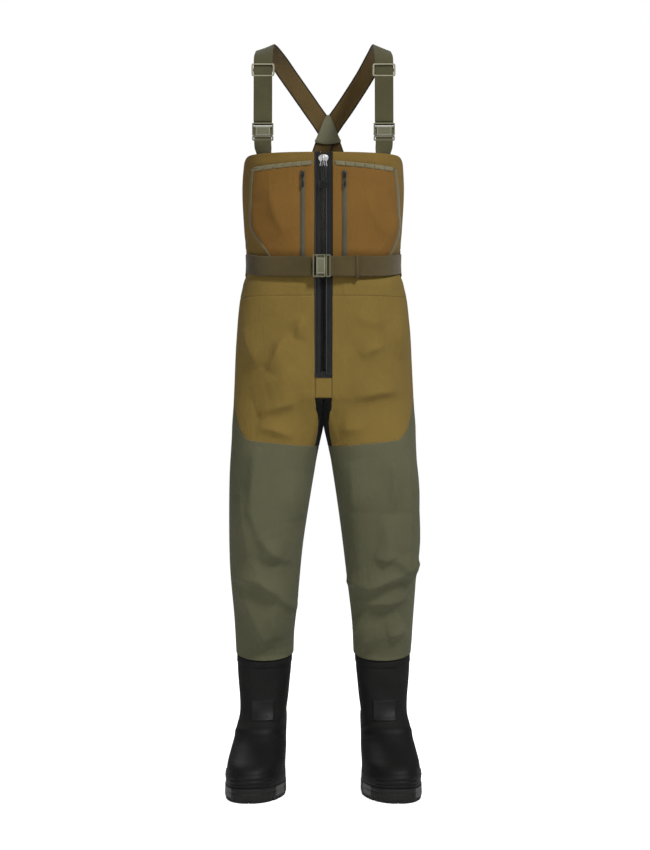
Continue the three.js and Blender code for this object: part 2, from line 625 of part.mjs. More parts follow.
// ---- Suspenders --------------------------------------------------------------------------------
// A ribbon through stations, each with a point, the way its width runs and its outer normal.
const ribbon = (stations, width, thickness) => {
  const rings = stations.map(({ at, across, out }) => {
    const p = new THREE.Vector3(...at);
    const w = new THREE.Vector3(...across).normalize().multiplyScalar(width / 2);
    const n = new THREE.Vector3(...out).normalize().multiplyScalar(thickness / 2);
    return [
      p.clone().sub(w).sub(n),
      p.clone().sub(w).add(n),
      p.clone().add(w).add(n),
      p.clone().add(w).sub(n),
    ];
  });
  return rings;
};
const smoothRibbon = (stations, steps) => {
  const curve = (key) => new THREE.CatmullRomCurve3(
    stations.map((s) => new THREE.Vector3(...s[key])),
    false,
    'centripetal',
  );
  const [at, across, out] = ['at', 'across', 'out'].map(curve);
  return Array.from({ length: steps + 1 }, (_, i) => {
    const t = i / steps;
    return {
      at: at.getPoint(t).toArray(),
      across: across.getPoint(t).toArray(),
      out: out.getPoint(t).toArray(),
    };
  });
};

const LEAN = 0.1; // how far the front strap leans back for each mm that it rises
const leanAngle = Math.atan(LEAN);
const strapFootY = onTorso(STRAP_X, BIB_TOP_Z).y + 3;
const strapY = (z) => strapFootY + (z - BIB_TOP_Z) * LEAN;
const straightTop = ADJUSTER_Z + 16;
const backY = stationAt(TORSO, BIB_TOP_Z).back + SIDE_Y;
const station = (x, y, z, across, out) => ({ at: [x, y, z], across, out });
const susWidth = STRAP_WIDTH + 2 * BUCKLE_MARGIN;
const layer = (side) => (side < 0 ? 6.2 : 2.6); // the right strap crosses outside the left one

const strapStations = (side) => {
  const behindY = backY + layer(side);
  const flat = [1, 0, 0];
  const forward = [0, -Math.cos(leanAngle), Math.sin(leanAngle)];
  const start = CLASP_Z + BUCKLE_LENGTH + 4;
  const backFromSide = SIDE_Y + BACK_DEPTH;
  const crossX = (z) => YOKE_X + side * (z - YOKE_Z + 4) * (z < YOKE_Z ? 0.34 : 0.68);
  return {
    straight: [start, straightTop].map((z) => station(side * STRAP_X, strapY(z), z, flat, forward)),
    over: [
      station(side * STRAP_X, strapY(straightTop), straightTop, flat, forward),
      station(
        side * (STRAP_X - 1), strapY(ADJUSTER_Z) + 12, ADJUSTER_Z + 34,
        [1, 0.05, side * -0.2], [side * 0.15, -0.8, 0.55],
      ),
      station(
        side * (STRAP_X - 5), SIDE_Y - 8, SHOULDER_Z - 3,
        [1, 0.1, side * -0.42], [side * 0.4, -0.05, 0.95],
      ),
      station(
        side * (STRAP_X - 21) + 4, backFromSide - 66, SHOULDER_Z - 16,
        [0.92, side * 0.1, side * -0.5], [side * 0.32, 0.72, 0.62],
      ),
      station(
        side * (STRAP_X - 44) + 7, backFromSide - 24, SHOULDER_Z - 47,
        [0.86, side * 0.05, side * -0.55], [side * 0.16, 0.95, 0.3],
      ),
      station(crossX(YOKE_Z + 52), behindY - 2, YOKE_Z + 52, [0.88, 0, side * -0.48], [0, 1, 0.06]),
      station(crossX(YOKE_Z), behindY, YOKE_Z, [0.88, 0, side * -0.48], [0, 1, 0]),
      station(crossX(FOLD_Z + 2), behindY, FOLD_Z + 2, [0.95, 0, side * -0.25], [0, 1, 0]),
    ],
  };
};
for (const side of SIDES) {
  const { straight, over } = strapStations(side);
  const front = loft(ribbon(straight, STRAP_WIDTH, STRAP_THICKNESS));
  const rear = loft(ribbon(smoothRibbon(over, 22), STRAP_WIDTH, STRAP_THICKNESS));
  const buckle = new THREE.Group();
  buckle.position.set(side * STRAP_X, strapY(CLASP_Z), CLASP_Z);
  // The buckle's +X, the way the male half leaves, points down the strap and its front stays -Y.
  buckle.rotation.set(-leanAngle, 0, 0);
  waders.add(buckle);
  const down = new THREE.Group();
  down.rotation.y = Math.PI / 2;
  buckle.add(down);
  add(`strap_buckle_female_${sideName(side)}`, femaleHalf(susWidth), material.buckle, down);
  add(`strap_buckle_male_${sideName(side)}`, maleHalf(susWidth), material.buckle, down);

  const turned = new THREE.Matrix4()
    .makeRotationX(-leanAngle)
    .multiply(new THREE.Matrix4().makeRotationY(Math.PI / 2));
  turned.setPosition(side * STRAP_X, strapY(CLASP_Z), CLASP_Z);
  const loop = (x, tail, flip) => {
    const flat = loopSolid(STRAP_WIDTH - 1, STRAP_THICKNESS - 0.6, tail);
    return (flip ? flat.mirror([1, 0, 0]) : flat).translate(x, 0, 0).transform(turned.elements);
  };
  const upperLoop = loop(-BUCKLE_LENGTH + BAR / 2, 12, false);
  add(`suspender_strap_${sideName(side)}`, joined([upperLoop, front, rear]), material.strapWeb);

  // Tab: from the stitching inside the bib, turning to face forward at the buckle.
  const foot = onTorso(STRAP_X, TAB_FOOT_Z);
  const inside = FABRIC + GAP + STRAP_THICKNESS / 2 + 3;
  const turnAcross = [Math.cos(foot.turn), side * Math.sin(foot.turn), 0];
  const turnOut = [side * Math.sin(foot.turn), -Math.cos(foot.turn), 0];
  const inward = (z) => {
    const here = onTorso(STRAP_X, z);
    return [side * (STRAP_X - inside * Math.sin(foot.turn)), here.y + inside * Math.cos(foot.turn), z];
  };
  const lowZ = CLASP_Z - BUCKLE_BASE - 8;
  const tab = loft(ribbon(smoothRibbon([
    { at: inward(TAB_FOOT_Z), across: turnAcross, out: turnOut },
    { at: inward(BIB_TOP_Z + 3), across: turnAcross, out: turnOut },
    { at: [side * STRAP_X, strapY(lowZ), lowZ], across: [1, 0, 0], out: [0, -1, LEAN] },
  ], 8), STRAP_WIDTH - 3, STRAP_THICKNESS));
  const lowerLoop = loop(BUCKLE_BASE - BAR / 2, 10, true);
  add(`strap_tab_${sideName(side)}`, joined([tab, lowerLoop]), material.strapWeb);

  // Adjuster: a frame whose two front bars and one rear bar hold the strap between them.
  const adjuster = new THREE.Group();
  adjuster.position.set(side * STRAP_X, strapY(ADJUSTER_Z), ADJUSTER_Z);
  adjuster.rotation.x = -leanAngle;
  waders.add(adjuster);
  const clear = STRAP_THICKNESS / 2 + 0.5;
  const innerHalf = STRAP_WIDTH / 2 + 0.7;
  const ADJUSTER = { rail: 3.4, height: 25, bar: 4, deep: 2.4 };
  const rails = SIDES.map((s) => box(
    s < 0 ? -innerHalf - ADJUSTER.rail : innerHalf, s < 0 ? -innerHalf : innerHalf + ADJUSTER.rail,
    -clear - ADJUSTER.deep, clear + ADJUSTER.deep, -ADJUSTER.height / 2, ADJUSTER.height / 2,
  ));
  const frontBars = SIDES.map((s) => box(
    -innerHalf - 1, innerHalf + 1, -clear - ADJUSTER.deep, -clear,
    s < 0 ? -ADJUSTER.height / 2 : ADJUSTER.height / 2 - ADJUSTER.bar,
    s < 0 ? -ADJUSTER.height / 2 + ADJUSTER.bar : ADJUSTER.height / 2,
  ));
  const rearBar = box(-innerHalf - 1, innerHalf + 1, clear, clear + ADJUSTER.deep, -3, 3);
  const frame = joined([...rails, ...frontBars, rearBar]);
  add(`strap_adjuster_${sideName(side)}`, frame, material.buckle, adjuster);
}

// Yoke: two rounded triangular patches that hold the crossing straps between them.
const yokeShape = new THREE.Shape();
yokeShape.moveTo(-24, -24);
yokeShape.quadraticCurveTo(-27, -20, -24, -15);
yokeShape.lineTo(-7, 25);
yokeShape.quadraticCurveTo(0, 33, 7, 25);
yokeShape.lineTo(24, -15);
yokeShape.quadraticCurveTo(27, -20, 24, -24);
yokeShape.quadraticCurveTo(0, -30, -24, -24);
const yokePlate = uprightPlate(yokeShape, 1.8);
const strapNear = Math.min(layer(-1), layer(1)) - STRAP_THICKNESS / 2;
const strapFar = Math.max(layer(-1), layer(1)) + STRAP_THICKNESS / 2;
add('yoke_patch_inner', yokePlate.translate(YOKE_X, backY + strapNear - GAP - 4.2, YOKE_Z), material.trim);
add('yoke_patch_outer', yokePlate.translate(YOKE_X, backY + strapFar + GAP + 0.4, YOKE_Z), material.trim);

// The patch on the back panel that the suspenders are sewn to.
const ANCHOR_HALF = 44;
const anchorX = (half) => [YOKE_X - half, YOKE_X + half];
const anchorPatch = band(GAP, GAP + 2, BIB_TOP_Z - 52, BIB_TOP_Z)
  .intersect(box(...anchorX(ANCHOR_HALF), SIDE_Y, FAR, 0, FAR));
const anchorTab = box(...anchorX(31), backY - 0.6, backY + 1.6, BIB_TOP_Z - 40, FOLD_Z - 6)
  .subtract(between(torsoSkin(GAP), 0, BIB_TOP_Z + GAP));
add('back_anchor_patch', joined([anchorPatch, anchorTab]), material.trim);

// ---- Boots -------------------------------------------------------------------------------------
const SOLE_HALF = SOLE_LENGTH / 2;
const ANKLE_Z = SOLE_THICKNESS + 101;
const upShaft = (share) => ANKLE_Z + (HEM_Z - 6 - ANKLE_Z) * share;
const footSlice = (z, toeInset, heelInset, heelMore, ballMore) => ({
  z,
  toe: toeInset - SOLE_HALF,
  heel: SOLE_HALF - heelInset,
  heelHalf: HEEL_HALF_WIDTH + heelMore,
  ballHalf: BALL_HALF_WIDTH + ballMore,
  x: BOOT_X,
  run: TOE_OUT,
});
const shaftSlice = (z, moreY, moreDepth, more, moreX) => ({
  z,
  toe: SHAFT_Y + moreY - SHAFT_DEPTH / 2 - moreDepth,
  heel: SHAFT_Y + moreY + SHAFT_DEPTH / 2 + moreDepth,
  heelHalf: SHAFT_HALF + more,
  ballHalf: SHAFT_HALF + more,
  x: SHAFT_X + moreX,
  run: 0,
});
const BOOT = [
  footSlice(SOLE_THICKNESS - BEYOND, 4.5, 3.5, 0, 0),
  footSlice(SOLE_THICKNESS + 17, 4.5, 3.5, 0.5, 0),
  footSlice(SOLE_THICKNESS + 30, 11.5, 4.5, 1, -0.5),
  footSlice(SOLE_THICKNESS + 40, 24.5, 5.5, 1.5, -1),
  footSlice(SOLE_THICKNESS + 50, 47.5, 6.5, 2, -2),
  footSlice(SOLE_THICKNESS + 62, 74.5, 8.5, 2.5, -3.5),
  footSlice(SOLE_THICKNESS + 77, 102.5, 10.5, 2.5, -6),
  footSlice(SOLE_THICKNESS + 101, 130.5, 14.5, 3, -8),
  shaftSlice(upShaft(0.18), -3, 7, -4, 3),
  shaftSlice(upShaft(0.406), 0.5, 2.5, -2, 2),
  shaftSlice(upShaft(0.632), 1, 1, 0.5, 1),
  shaftSlice(upShaft(0.835), 0.5, 1.5, 3, 1),
  shaftSlice(HEM_Z - 6, -0.5, 1.5, 3.5, 0.5),
  shaftSlice(HEM_Z + 6, 0, 0, -0.5, -0.5),
  shaftSlice(SHAFT_TOP_Z + BEYOND, 0, 0, -0.5, -0.5),
];
const BOOT_SIDES = 24;
const bootRing = (s, z, grow, side) => {
  const middleY = (s.toe + s.heel) / 2;
  const halfLength = (s.heel - s.toe) / 2 + grow;
  const ring = [];
  for (let i = 0; i < BOOT_SIDES; i += 1) {
    const t = (2 * Math.PI * i) / BOOT_SIDES;
    const y = middleY + halfLength * power(Math.sin(t), 2.6);
    const forward = (s.heel - y) / (s.heel - s.toe);
    const blend = THREE.MathUtils.smoothstep(forward, 0.25, 0.7);
    const half = s.heelHalf + (s.ballHalf - s.heelHalf) * blend + grow;
    ring.push(new THREE.Vector3(s.x + s.run * (75 - y) + half * power(Math.cos(t), 2.3), y, z));
  }
  return mirrored(side, ring);
};
const bootSkin = (side, grow, low = 0, high = FAR) => between(
  loft(BOOT.map((s) => bootRing(s, s.z, grow, side))), low, high,
);
const soleSlice = footSlice(0, 0, 0, SOLE_EDGE, SOLE_EDGE);

for (const side of SIDES) {
  const name = sideName(side);
  const liningFloor = SOLE_THICKNESS + GAP + 3;
  const upper = bootSkin(side, 0, SOLE_THICKNESS + GAP, SHAFT_TOP_Z)
    .subtract(bootSkin(side, -BOOT_WALL, liningFloor));
  add(`boot_upper_${name}`, upper, material.neoprene);
  const insole = bootSkin(side, -BOOT_WALL - GAP, liningFloor + GAP, liningFloor + GAP + 4);
  add(`boot_insole_${name}`, insole, material.neoprene);

  const foxing = bootSkin(side, SOLE_EDGE - 0.1, SOLE_THICKNESS + GAP, SOLE_THICKNESS + FOXING_HEIGHT)
    .subtract(bootSkin(side, GAP));
  add(`boot_foxing_${name}`, foxing, material.bootRubber);

  // The outsole: heel and forefoot stand on lugs, with a raised arch between them.
  const sole = loft([0, 4, SOLE_THICKNESS].map((z) => bootRing(soleSlice, z, z < 1 ? -1.5 : 0, side)));
  const arch = box(-FAR, FAR, 26, 66, -1, 9);
  const grooves = [-118, -90, -62, -34, -6, 92, 118].map((y) => box(-FAR, FAR, y, y + 6, -1, 6));
  add(`boot_outsole_${name}`, sole.subtract(joined([arch, ...grooves])), material.bootRubber);

  const patch = bootSkin(side, 2.4, 140, 180)
    .subtract(bootSkin(side, GAP))
    .intersect(box(side * BOOT_X - 23, side * BOOT_X + 23, -FAR, 60, 0, FAR));
  add(`boot_shin_patch_${name}`, patch, material.bootRubber);

  // The glued band between the boot shaft and the leg.
  const legInside = between(legSkin(side, -FABRIC - GAP), HEM_Z + 3, SHAFT_TOP_Z - 2);
  const cuff = legInside.subtract(bootSkin(side, GAP));
  add(`boot_cuff_band_${name}`, cuff, material.neoprene);
}

export default waders;
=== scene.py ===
# %% [markdown]
# # Chest waders in Blender
# The waders are a shell of laminated cloth, bonded to rubber boots at the hems, with a front zip,
# two zipped pockets, a belt and buckled suspenders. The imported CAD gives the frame: every piece
# made here sits where its CAD solid sits, and rides on the same body, so the joints still work.

# %% Load the frame
import json
import math

import bmesh
import bpy
import numpy as np
from mathutils import Matrix, Vector

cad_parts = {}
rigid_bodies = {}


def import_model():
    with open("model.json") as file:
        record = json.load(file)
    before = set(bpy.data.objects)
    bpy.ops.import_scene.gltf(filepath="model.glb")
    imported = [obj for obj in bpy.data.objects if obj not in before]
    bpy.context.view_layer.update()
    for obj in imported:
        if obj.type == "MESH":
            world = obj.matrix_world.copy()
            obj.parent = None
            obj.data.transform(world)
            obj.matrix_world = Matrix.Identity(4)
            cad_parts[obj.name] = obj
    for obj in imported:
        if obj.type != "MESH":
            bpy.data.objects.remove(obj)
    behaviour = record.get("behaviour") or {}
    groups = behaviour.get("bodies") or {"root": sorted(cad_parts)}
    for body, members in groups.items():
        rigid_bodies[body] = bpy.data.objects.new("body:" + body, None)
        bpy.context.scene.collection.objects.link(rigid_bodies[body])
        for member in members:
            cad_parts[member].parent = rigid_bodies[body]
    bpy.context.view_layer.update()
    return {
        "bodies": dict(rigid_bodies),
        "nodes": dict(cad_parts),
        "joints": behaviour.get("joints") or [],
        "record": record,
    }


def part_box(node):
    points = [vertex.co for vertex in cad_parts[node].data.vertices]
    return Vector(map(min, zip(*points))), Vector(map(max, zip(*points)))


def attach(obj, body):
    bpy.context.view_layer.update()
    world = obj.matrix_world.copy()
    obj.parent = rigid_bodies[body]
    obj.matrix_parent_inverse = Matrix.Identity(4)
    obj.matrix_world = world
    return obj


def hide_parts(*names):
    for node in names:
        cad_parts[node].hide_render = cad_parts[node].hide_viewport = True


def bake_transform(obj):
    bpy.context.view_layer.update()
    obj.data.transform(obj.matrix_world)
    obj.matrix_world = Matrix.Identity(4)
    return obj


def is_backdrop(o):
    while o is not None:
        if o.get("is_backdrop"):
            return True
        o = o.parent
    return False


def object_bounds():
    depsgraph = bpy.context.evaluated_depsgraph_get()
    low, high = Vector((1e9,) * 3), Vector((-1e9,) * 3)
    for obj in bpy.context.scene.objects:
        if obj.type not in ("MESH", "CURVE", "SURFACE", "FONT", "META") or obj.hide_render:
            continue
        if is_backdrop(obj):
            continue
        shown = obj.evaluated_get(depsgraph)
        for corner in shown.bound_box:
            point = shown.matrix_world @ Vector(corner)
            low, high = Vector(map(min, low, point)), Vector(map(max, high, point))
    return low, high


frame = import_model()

# %% [markdown]
# ## Camera, floor and light
# A long lens from over four metres away keeps the legs parallel, as a catalogue view of clothing
# does. The floor is a wide white disc and the world is white, but only the camera sees them at full
# brightness: the light that they give is weak. So most light comes from the lamps, and the key lamp
# high on the right gives every fold a bright and a dark side.

# %% Camera
def make_camera(place, lens):
    camera = bpy.data.objects.new("camera", bpy.data.cameras.new("camera"))
    camera.data.lens = lens
    camera.data.sensor_width = 36
    camera.location = place
    camera.rotation_euler = (math.pi / 2, 0, 0)
    bpy.context.scene.collection.objects.link(camera)
    bpy.context.scene.camera = camera
    return camera

camera = make_camera((0.003, -4.2, 0.731), 88.9)
print("camera stands", abs(camera.location.y), "m in front")

# %% World and lamps
def only_for_camera(tree, plain, seen, out):
    """Shows one shader to the camera and the plain one to every other ray."""
    path = tree.nodes.new("ShaderNodeLightPath")
    choose = tree.nodes.new("ShaderNodeMixShader")
    for socket, value in zip(choose.inputs, (path.outputs["Is Camera Ray"], plain, seen)):
        tree.links.new(value, socket)
    tree.links.new(choose.outputs[0], out)

scene = bpy.context.scene
scene.view_settings.view_transform = "Standard"
scene.view_settings.look = "None"
world = bpy.data.worlds.new("studio")
scene.world = world
world.use_nodes = True
sky = world.node_tree
dim = sky.nodes["Background"]
dim.inputs["Color"].default_value = (1, 1, 1, 1)
dim.inputs["Strength"].default_value = 0.145
seen = sky.nodes.new("ShaderNodeBackground")
seen.inputs["Color"].default_value = (1, 1, 1, 1)
seen.inputs["Strength"].default_value = 1.0
only_for_camera(sky, dim.outputs[0], seen.outputs[0], sky.nodes["World Output"].inputs[0])

def lamp(name, place, aim, size, power):
    data = bpy.data.lights.new(name, "AREA")
    data.shape, data.size, data.energy = "DISK", size, power
    made = bpy.data.objects.new(name, data)
    made.location = place
    made.rotation_euler = (Vector(aim) - Vector(place)).to_track_quat("-Z", "Y").to_euler()
    scene.collection.objects.link(made)

lamp("key", (1.5, -2.3, 3.6), (0, 0, 0.9), 0.8, 124)
lamp("fill", (-2.4, -3.4, 1.4), (0, 0, 0.8), 2.0, 34)
lamp("back_light", (-0.6, 3.0, 2.6), (0, 0, 0.8), 2.0, 30)
print(len(bpy.data.lights), "lamps")

# %% Floor
FLOOR_RADIUS, FLOOR_RINGS, FLOOR_SPOKES = 9.0, 24, 96
FLOOR_Z = -0.0005                                  # a hair below the soles

def make_floor():
    bm = bmesh.new()

    def corner(k, j):
        reach, turn = FLOOR_RADIUS * (k / FLOOR_RINGS) ** 1.5, 2 * math.pi * j / FLOOR_SPOKES
        return bm.verts.new((reach * math.cos(turn), reach * math.sin(turn), FLOOR_Z))

    rows = [[corner(k, j) for j in range(FLOOR_SPOKES)] for k in range(1, FLOOR_RINGS + 1)]
    middle = bm.verts.new((0, 0, FLOOR_Z))
    for j in range(FLOOR_SPOKES):
        n = (j + 1) % FLOOR_SPOKES
        bm.faces.new((middle, rows[0][j], rows[0][n]))
        for k in range(FLOOR_RINGS - 1):
            bm.faces.new((rows[k][j], rows[k + 1][j], rows[k + 1][n], rows[k][n]))
    mesh = bpy.data.meshes.new("floor")
    bm.to_mesh(mesh)
    bm.free()
    floor = bpy.data.objects.new("floor", mesh)
    scene.collection.objects.link(floor)
    floor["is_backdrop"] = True
    paint = bpy.data.materials.new("pale_floor")
    paint.use_nodes = True
    shader = paint.node_tree.nodes["Principled BSDF"]
    shader.inputs["Base Color"].default_value = (0.9, 0.9, 0.9, 1)
    shader.inputs["Roughness"].default_value = 0.9
    tree = paint.node_tree
    glow = tree.nodes.new("ShaderNodeEmission")
    glow.inputs["Strength"].default_value = 0.85
    both = tree.nodes.new("ShaderNodeAddShader")
    tree.links.new(shader.outputs[0], both.inputs[0])
    tree.links.new(glow.outputs[0], both.inputs[1])
    only_for_camera(tree, shader.outputs[0], both.outputs[0],
                    tree.nodes["Material Output"].inputs[0])
    mesh.materials.append(paint)

make_floor()
print("floor radius", FLOOR_RADIUS, "m")

# %% [markdown]
# ## Numbers and small helpers
# The garment was drafted in millimetres, so the tables below stay in millimetres and only the
# last step into a mesh turns them into metres. Each table lists stations by height: how wide and
# how deep the body of the garment is there. A smooth cubic between stations gives any height.

# %% Stations of the torso, the legs and the boots
MM = 0.001
TORSO = [(726, 184, 94, 108), (781, 181, 101, 118), (818, 179, 105, 122), (900, 175, 105, 120),
         (985, 168, 105, 108), (1042, 152.5, 105, 97), (1120.75, 158, 105, 106),
         (1199.5, 162, 105, 112), (1267, 158.5, 105, 112)]          # z, half, front, back
LEG = [(268, 119, 58, 69, 67, 66), (333, 118.5, 61.5, 52, 70, 76),
       (428.6, 116.5, 69.5, 28, 76, 82), (524, 112.5, 76.5, 20, 84, 82),
       (619.5, 104.5, 83.5, 20, 86, 90), (702, 97, 88, 20, 91, 102),
       (742, 95, 89, 20, 93, 108), (800, 92, 86, 20, 88, 108)]      # z, x, half, y, front, back
SIDE_Y, ROUNDNESS = 20.0, 2.4
HEM, CROTCH, FORK, WAIST_SEAM, BELT, BIB_TOP = 268.0, 736.0, 784.0, 985.0, 1042.0, 1267.0
ZIP_HALF, ZIP_FOOT = 17.2, 826.0
SIDES = {"right": -1, "left": 1}

def read(table, z):
    """Every column of a station table at the heights z, by a cubic through its neighbours."""
    t = np.array(table, float)
    z = np.asarray(z, float)
    i = np.clip(np.searchsorted(t[:, 0], z, "right") - 1, 0, len(t) - 2)
    before, after = np.maximum(i - 1, 0), np.minimum(i + 2, len(t) - 1)
    gap = (t[i + 1, 0] - t[i, 0])[..., None]
    u = np.clip((z[..., None] - t[i, 0][..., None]) / gap, 0, 1)
    slope1 = (t[i + 1] - t[before]) / (t[i + 1, 0] - t[before, 0])[..., None] * gap
    slope2 = (t[after] - t[i]) / (t[after, 0] - t[i, 0])[..., None] * gap
    return ((2 * u**3 - 3 * u**2 + 1) * t[i] + (u**3 - 2 * u**2 + u) * slope1
            + (3 * u**2 - 2 * u**3) * t[i + 1] + (u**3 - u**2) * slope2)

def smooth(x, low, high):
    t = np.clip((np.asarray(x, float) - low) / (high - low), 0, 1)
    return t * t * (3 - 2 * t)

def power(v, n=ROUNDNESS):
    return np.sign(v) * np.abs(v) ** (2 / n)

print("belt line half width", round(float(read(TORSO, BELT)[1]), 1), "mm")

# %% Meshes from grids of points
def mesh_object(name, points, faces, body, replaced=(), slot=None, paint=None):
    """A new piece from points in millimetres, riding on a body and standing for CAD nodes."""
    mesh = bpy.data.meshes.new(name)
    mesh.from_pydata((np.asarray(points, float) * MM).tolist(), [], faces)
    mesh.validate()
    made = bpy.data.objects.new(name, mesh)
    scene.collection.objects.link(made)
    mesh.polygons.foreach_set("use_smooth", [True] * len(mesh.polygons))
    if paint:
        mesh.materials.append(paint)
    return enrol(made, body, replaced)

def enrol(made, body, replaced=()):
    """Hangs a piece on the body that carries it and hides the CAD nodes that it stands for."""
    if body:
        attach(made, body)
    if replaced:
        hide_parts(*replaced)
    return made

def mend(mesh, weld=0.0, turn_out=True):
    """Welds points that are closer than weld millimetres and turns the faces outwards."""
    bm = bmesh.new()
    bm.from_mesh(mesh)
    if weld:
        bmesh.ops.remove_doubles(bm, verts=bm.verts, dist=weld * MM)
    if turn_out:
        bmesh.ops.recalc_face_normals(bm, faces=bm.faces)
    bm.to_mesh(mesh)
    bm.free()

def grid_faces(rows, columns, start=0, flip=False, around=False):
    faces = []
    for r in range(rows - 1):
        for c in range(columns if around else columns - 1):
            n = (c + 1) % columns
            quad = (start + r * columns + c, start + r * columns + n,
                    start + (r + 1) * columns + n, start + (r + 1) * columns + c)
            faces.append(quad[::-1] if flip else quad)
    return faces

def from_grids(name, grids, body, weld=0.0, **more):
    """One piece from several grids, each an array of rows by columns by 3 and a flip flag."""
    points, faces, count = [], [], 0
    for grid, flip in grids:
        rows, columns = grid.shape[:2]
        points.append(grid.reshape(-1, 3))
        faces += grid_faces(rows, columns, count, flip)
        count += rows * columns
    made = mesh_object(name, np.concatenate(points), faces, body, **more)
    if weld:
        mend(made.data, weld)
    return made

def thicken(made, thickness, lining=0):
    """Gives an open sheet its thickness inwards, with the lining on the inner face."""
    solid = made.modifiers.new("thickness", "SOLIDIFY")
    solid.thickness, solid.offset = thickness * MM, -1
    solid.material_offset, solid.material_offset_rim = lining, 0
    apply_modifiers(made)

def apply_modifiers(made):
    bpy.context.view_layer.update()
    evaluated = made.evaluated_get(bpy.context.evaluated_depsgraph_get())
    mesh = bpy.data.meshes.new_from_object(evaluated)
    old = made.data
    made.modifiers.clear()
    made.data = mesh
    mesh.name = made.name
    bpy.data.meshes.remove(old)

def split_edges(made, degrees):
    """Keeps the edges that are sharper than this crisp under smooth shading."""
    made.modifiers.new("edges", "EDGE_SPLIT").split_angle = math.radians(degrees)
    apply_modifiers(made)

print("grid helpers ready")

# %% [markdown]
# ## Node groups for the finishes
# Cloth, webbing and rubber share a few effects: a weave, a cloudy change of tone, a rubbed look
# and fine crumpling. Each is a node group built once. A group only gives colours, masks and
# heights, and every material keeps its own shader, so its gloss stays a plain value.

# %% Helpers for nodes
def put(tree, kind, inputs=None, **settings):
    """Adds a node; an input given as a socket is linked, anything else becomes its value."""
    made = tree.nodes.new(kind)
    for key, value in settings.items():
        setattr(made, key, value)
    for key, value in (inputs or {}).items():
        if isinstance(value, bpy.types.NodeSocket):
            tree.links.new(value, made.inputs[key])
        else:
            made.inputs[key].default_value = value
    return made

def maths(tree, operation, a, b=0.0, c=0.0, clamp=False):
    return put(tree, "ShaderNodeMath", {0: a, 1: b, 2: c}, operation=operation,
               use_clamp=clamp).outputs[0]

def blend_colours(tree, share, a, b, kind="MIX"):
    made = put(tree, "ShaderNodeMix", data_type="RGBA", blend_type=kind, clamp_factor=True)
    for index, value in ((0, share), (6, a), (7, b)):
        if isinstance(value, bpy.types.NodeSocket):
            tree.links.new(value, made.inputs[index])
        else:
            made.inputs[index].default_value = value
    return made.outputs[2]

def ridges(tree, run):
    """Rounded ridges, one for each whole number of the run."""
    return maths(tree, "ABSOLUTE", maths(tree, "SINE", maths(tree, "MULTIPLY", run, math.pi)))

def new_group(name, inputs, outputs):
    """A node group; its sockets are (name, kind, value) going in and (name, kind) coming out."""
    tree = bpy.data.node_groups.new(name, "ShaderNodeTree")
    for label, kind, value in inputs:
        socket = tree.interface.new_socket(label, in_out="INPUT", socket_type="NodeSocket" + kind)
        if value is not None:
            socket.default_value = value
    for label, kind in outputs:
        tree.interface.new_socket(label, in_out="OUTPUT", socket_type="NodeSocket" + kind)
    return tree, tree.nodes.new("NodeGroupInput").outputs, tree.nodes.new("NodeGroupOutput").inputs

def colour(red, green, blue):
    """A tone given on the 0 to 255 scale, as the linear values that a shader wants."""
    linear = [c / 12.92 if c <= 0.04045 else ((c + 0.055) / 1.055) ** 2.4
              for c in (red / 255, green / 255, blue / 255)]
    return (*linear, 1.0)

print("node helpers ready")

# %% [markdown]
# ### Weave
# The cloth is a close plain weave of about sixteen threads to the centimetre. The threads run up
# the garment and around it. Around means along x at the front and along y at the sides, so the
# sum of both distances from the middle serves as one measure, and it needs no unwrapping.

# %% Weave group
def make_weave():
    tree, given, out = new_group(
        "plain_weave",
        [("Place", "Vector", None), ("Threads", "Float", 1600.0), ("Middle", "Float", 0.0)],
        [("Height", "Float"), ("Shade", "Float")])
    parts = put(tree, "ShaderNodeSeparateXYZ", {0: given["Place"]}).outputs
    across = maths(tree, "ABSOLUTE", maths(tree, "SUBTRACT", maths(tree, "ABSOLUTE", parts[0]),
                                           given["Middle"]))
    depth = maths(tree, "ABSOLUTE", maths(tree, "SUBTRACT", parts[1], 0.02))
    around = maths(tree, "MULTIPLY", maths(tree, "SUBTRACT", across, depth), given["Threads"])
    up = maths(tree, "MULTIPLY", parts[2], given["Threads"])
    warp, weft = ridges(tree, around), ridges(tree, up)
    over = maths(tree, "SINE", maths(tree, "MULTIPLY", maths(tree, "ADD", around, up), math.pi))
    on_top = maths(tree, "GREATER_THAN", over, 0.0)
    chosen = put(tree, "ShaderNodeMix", {0: on_top, 2: weft, 3: warp}).outputs[0]
    tree.links.new(chosen, out["Height"])
    tree.links.new(maths(tree, "MULTIPLY_ADD", chosen, 0.3, 0.75), out["Shade"])
    return tree

weave = make_weave()
print("weave group:", len(weave.nodes), "nodes")

# %% [markdown]
# ### Clouds, creases and specks
# Garment dye never takes evenly, handled cloth shows faint creases, and both it and rubber carry
# specks of dust. Noise at three sizes gives the three masks.

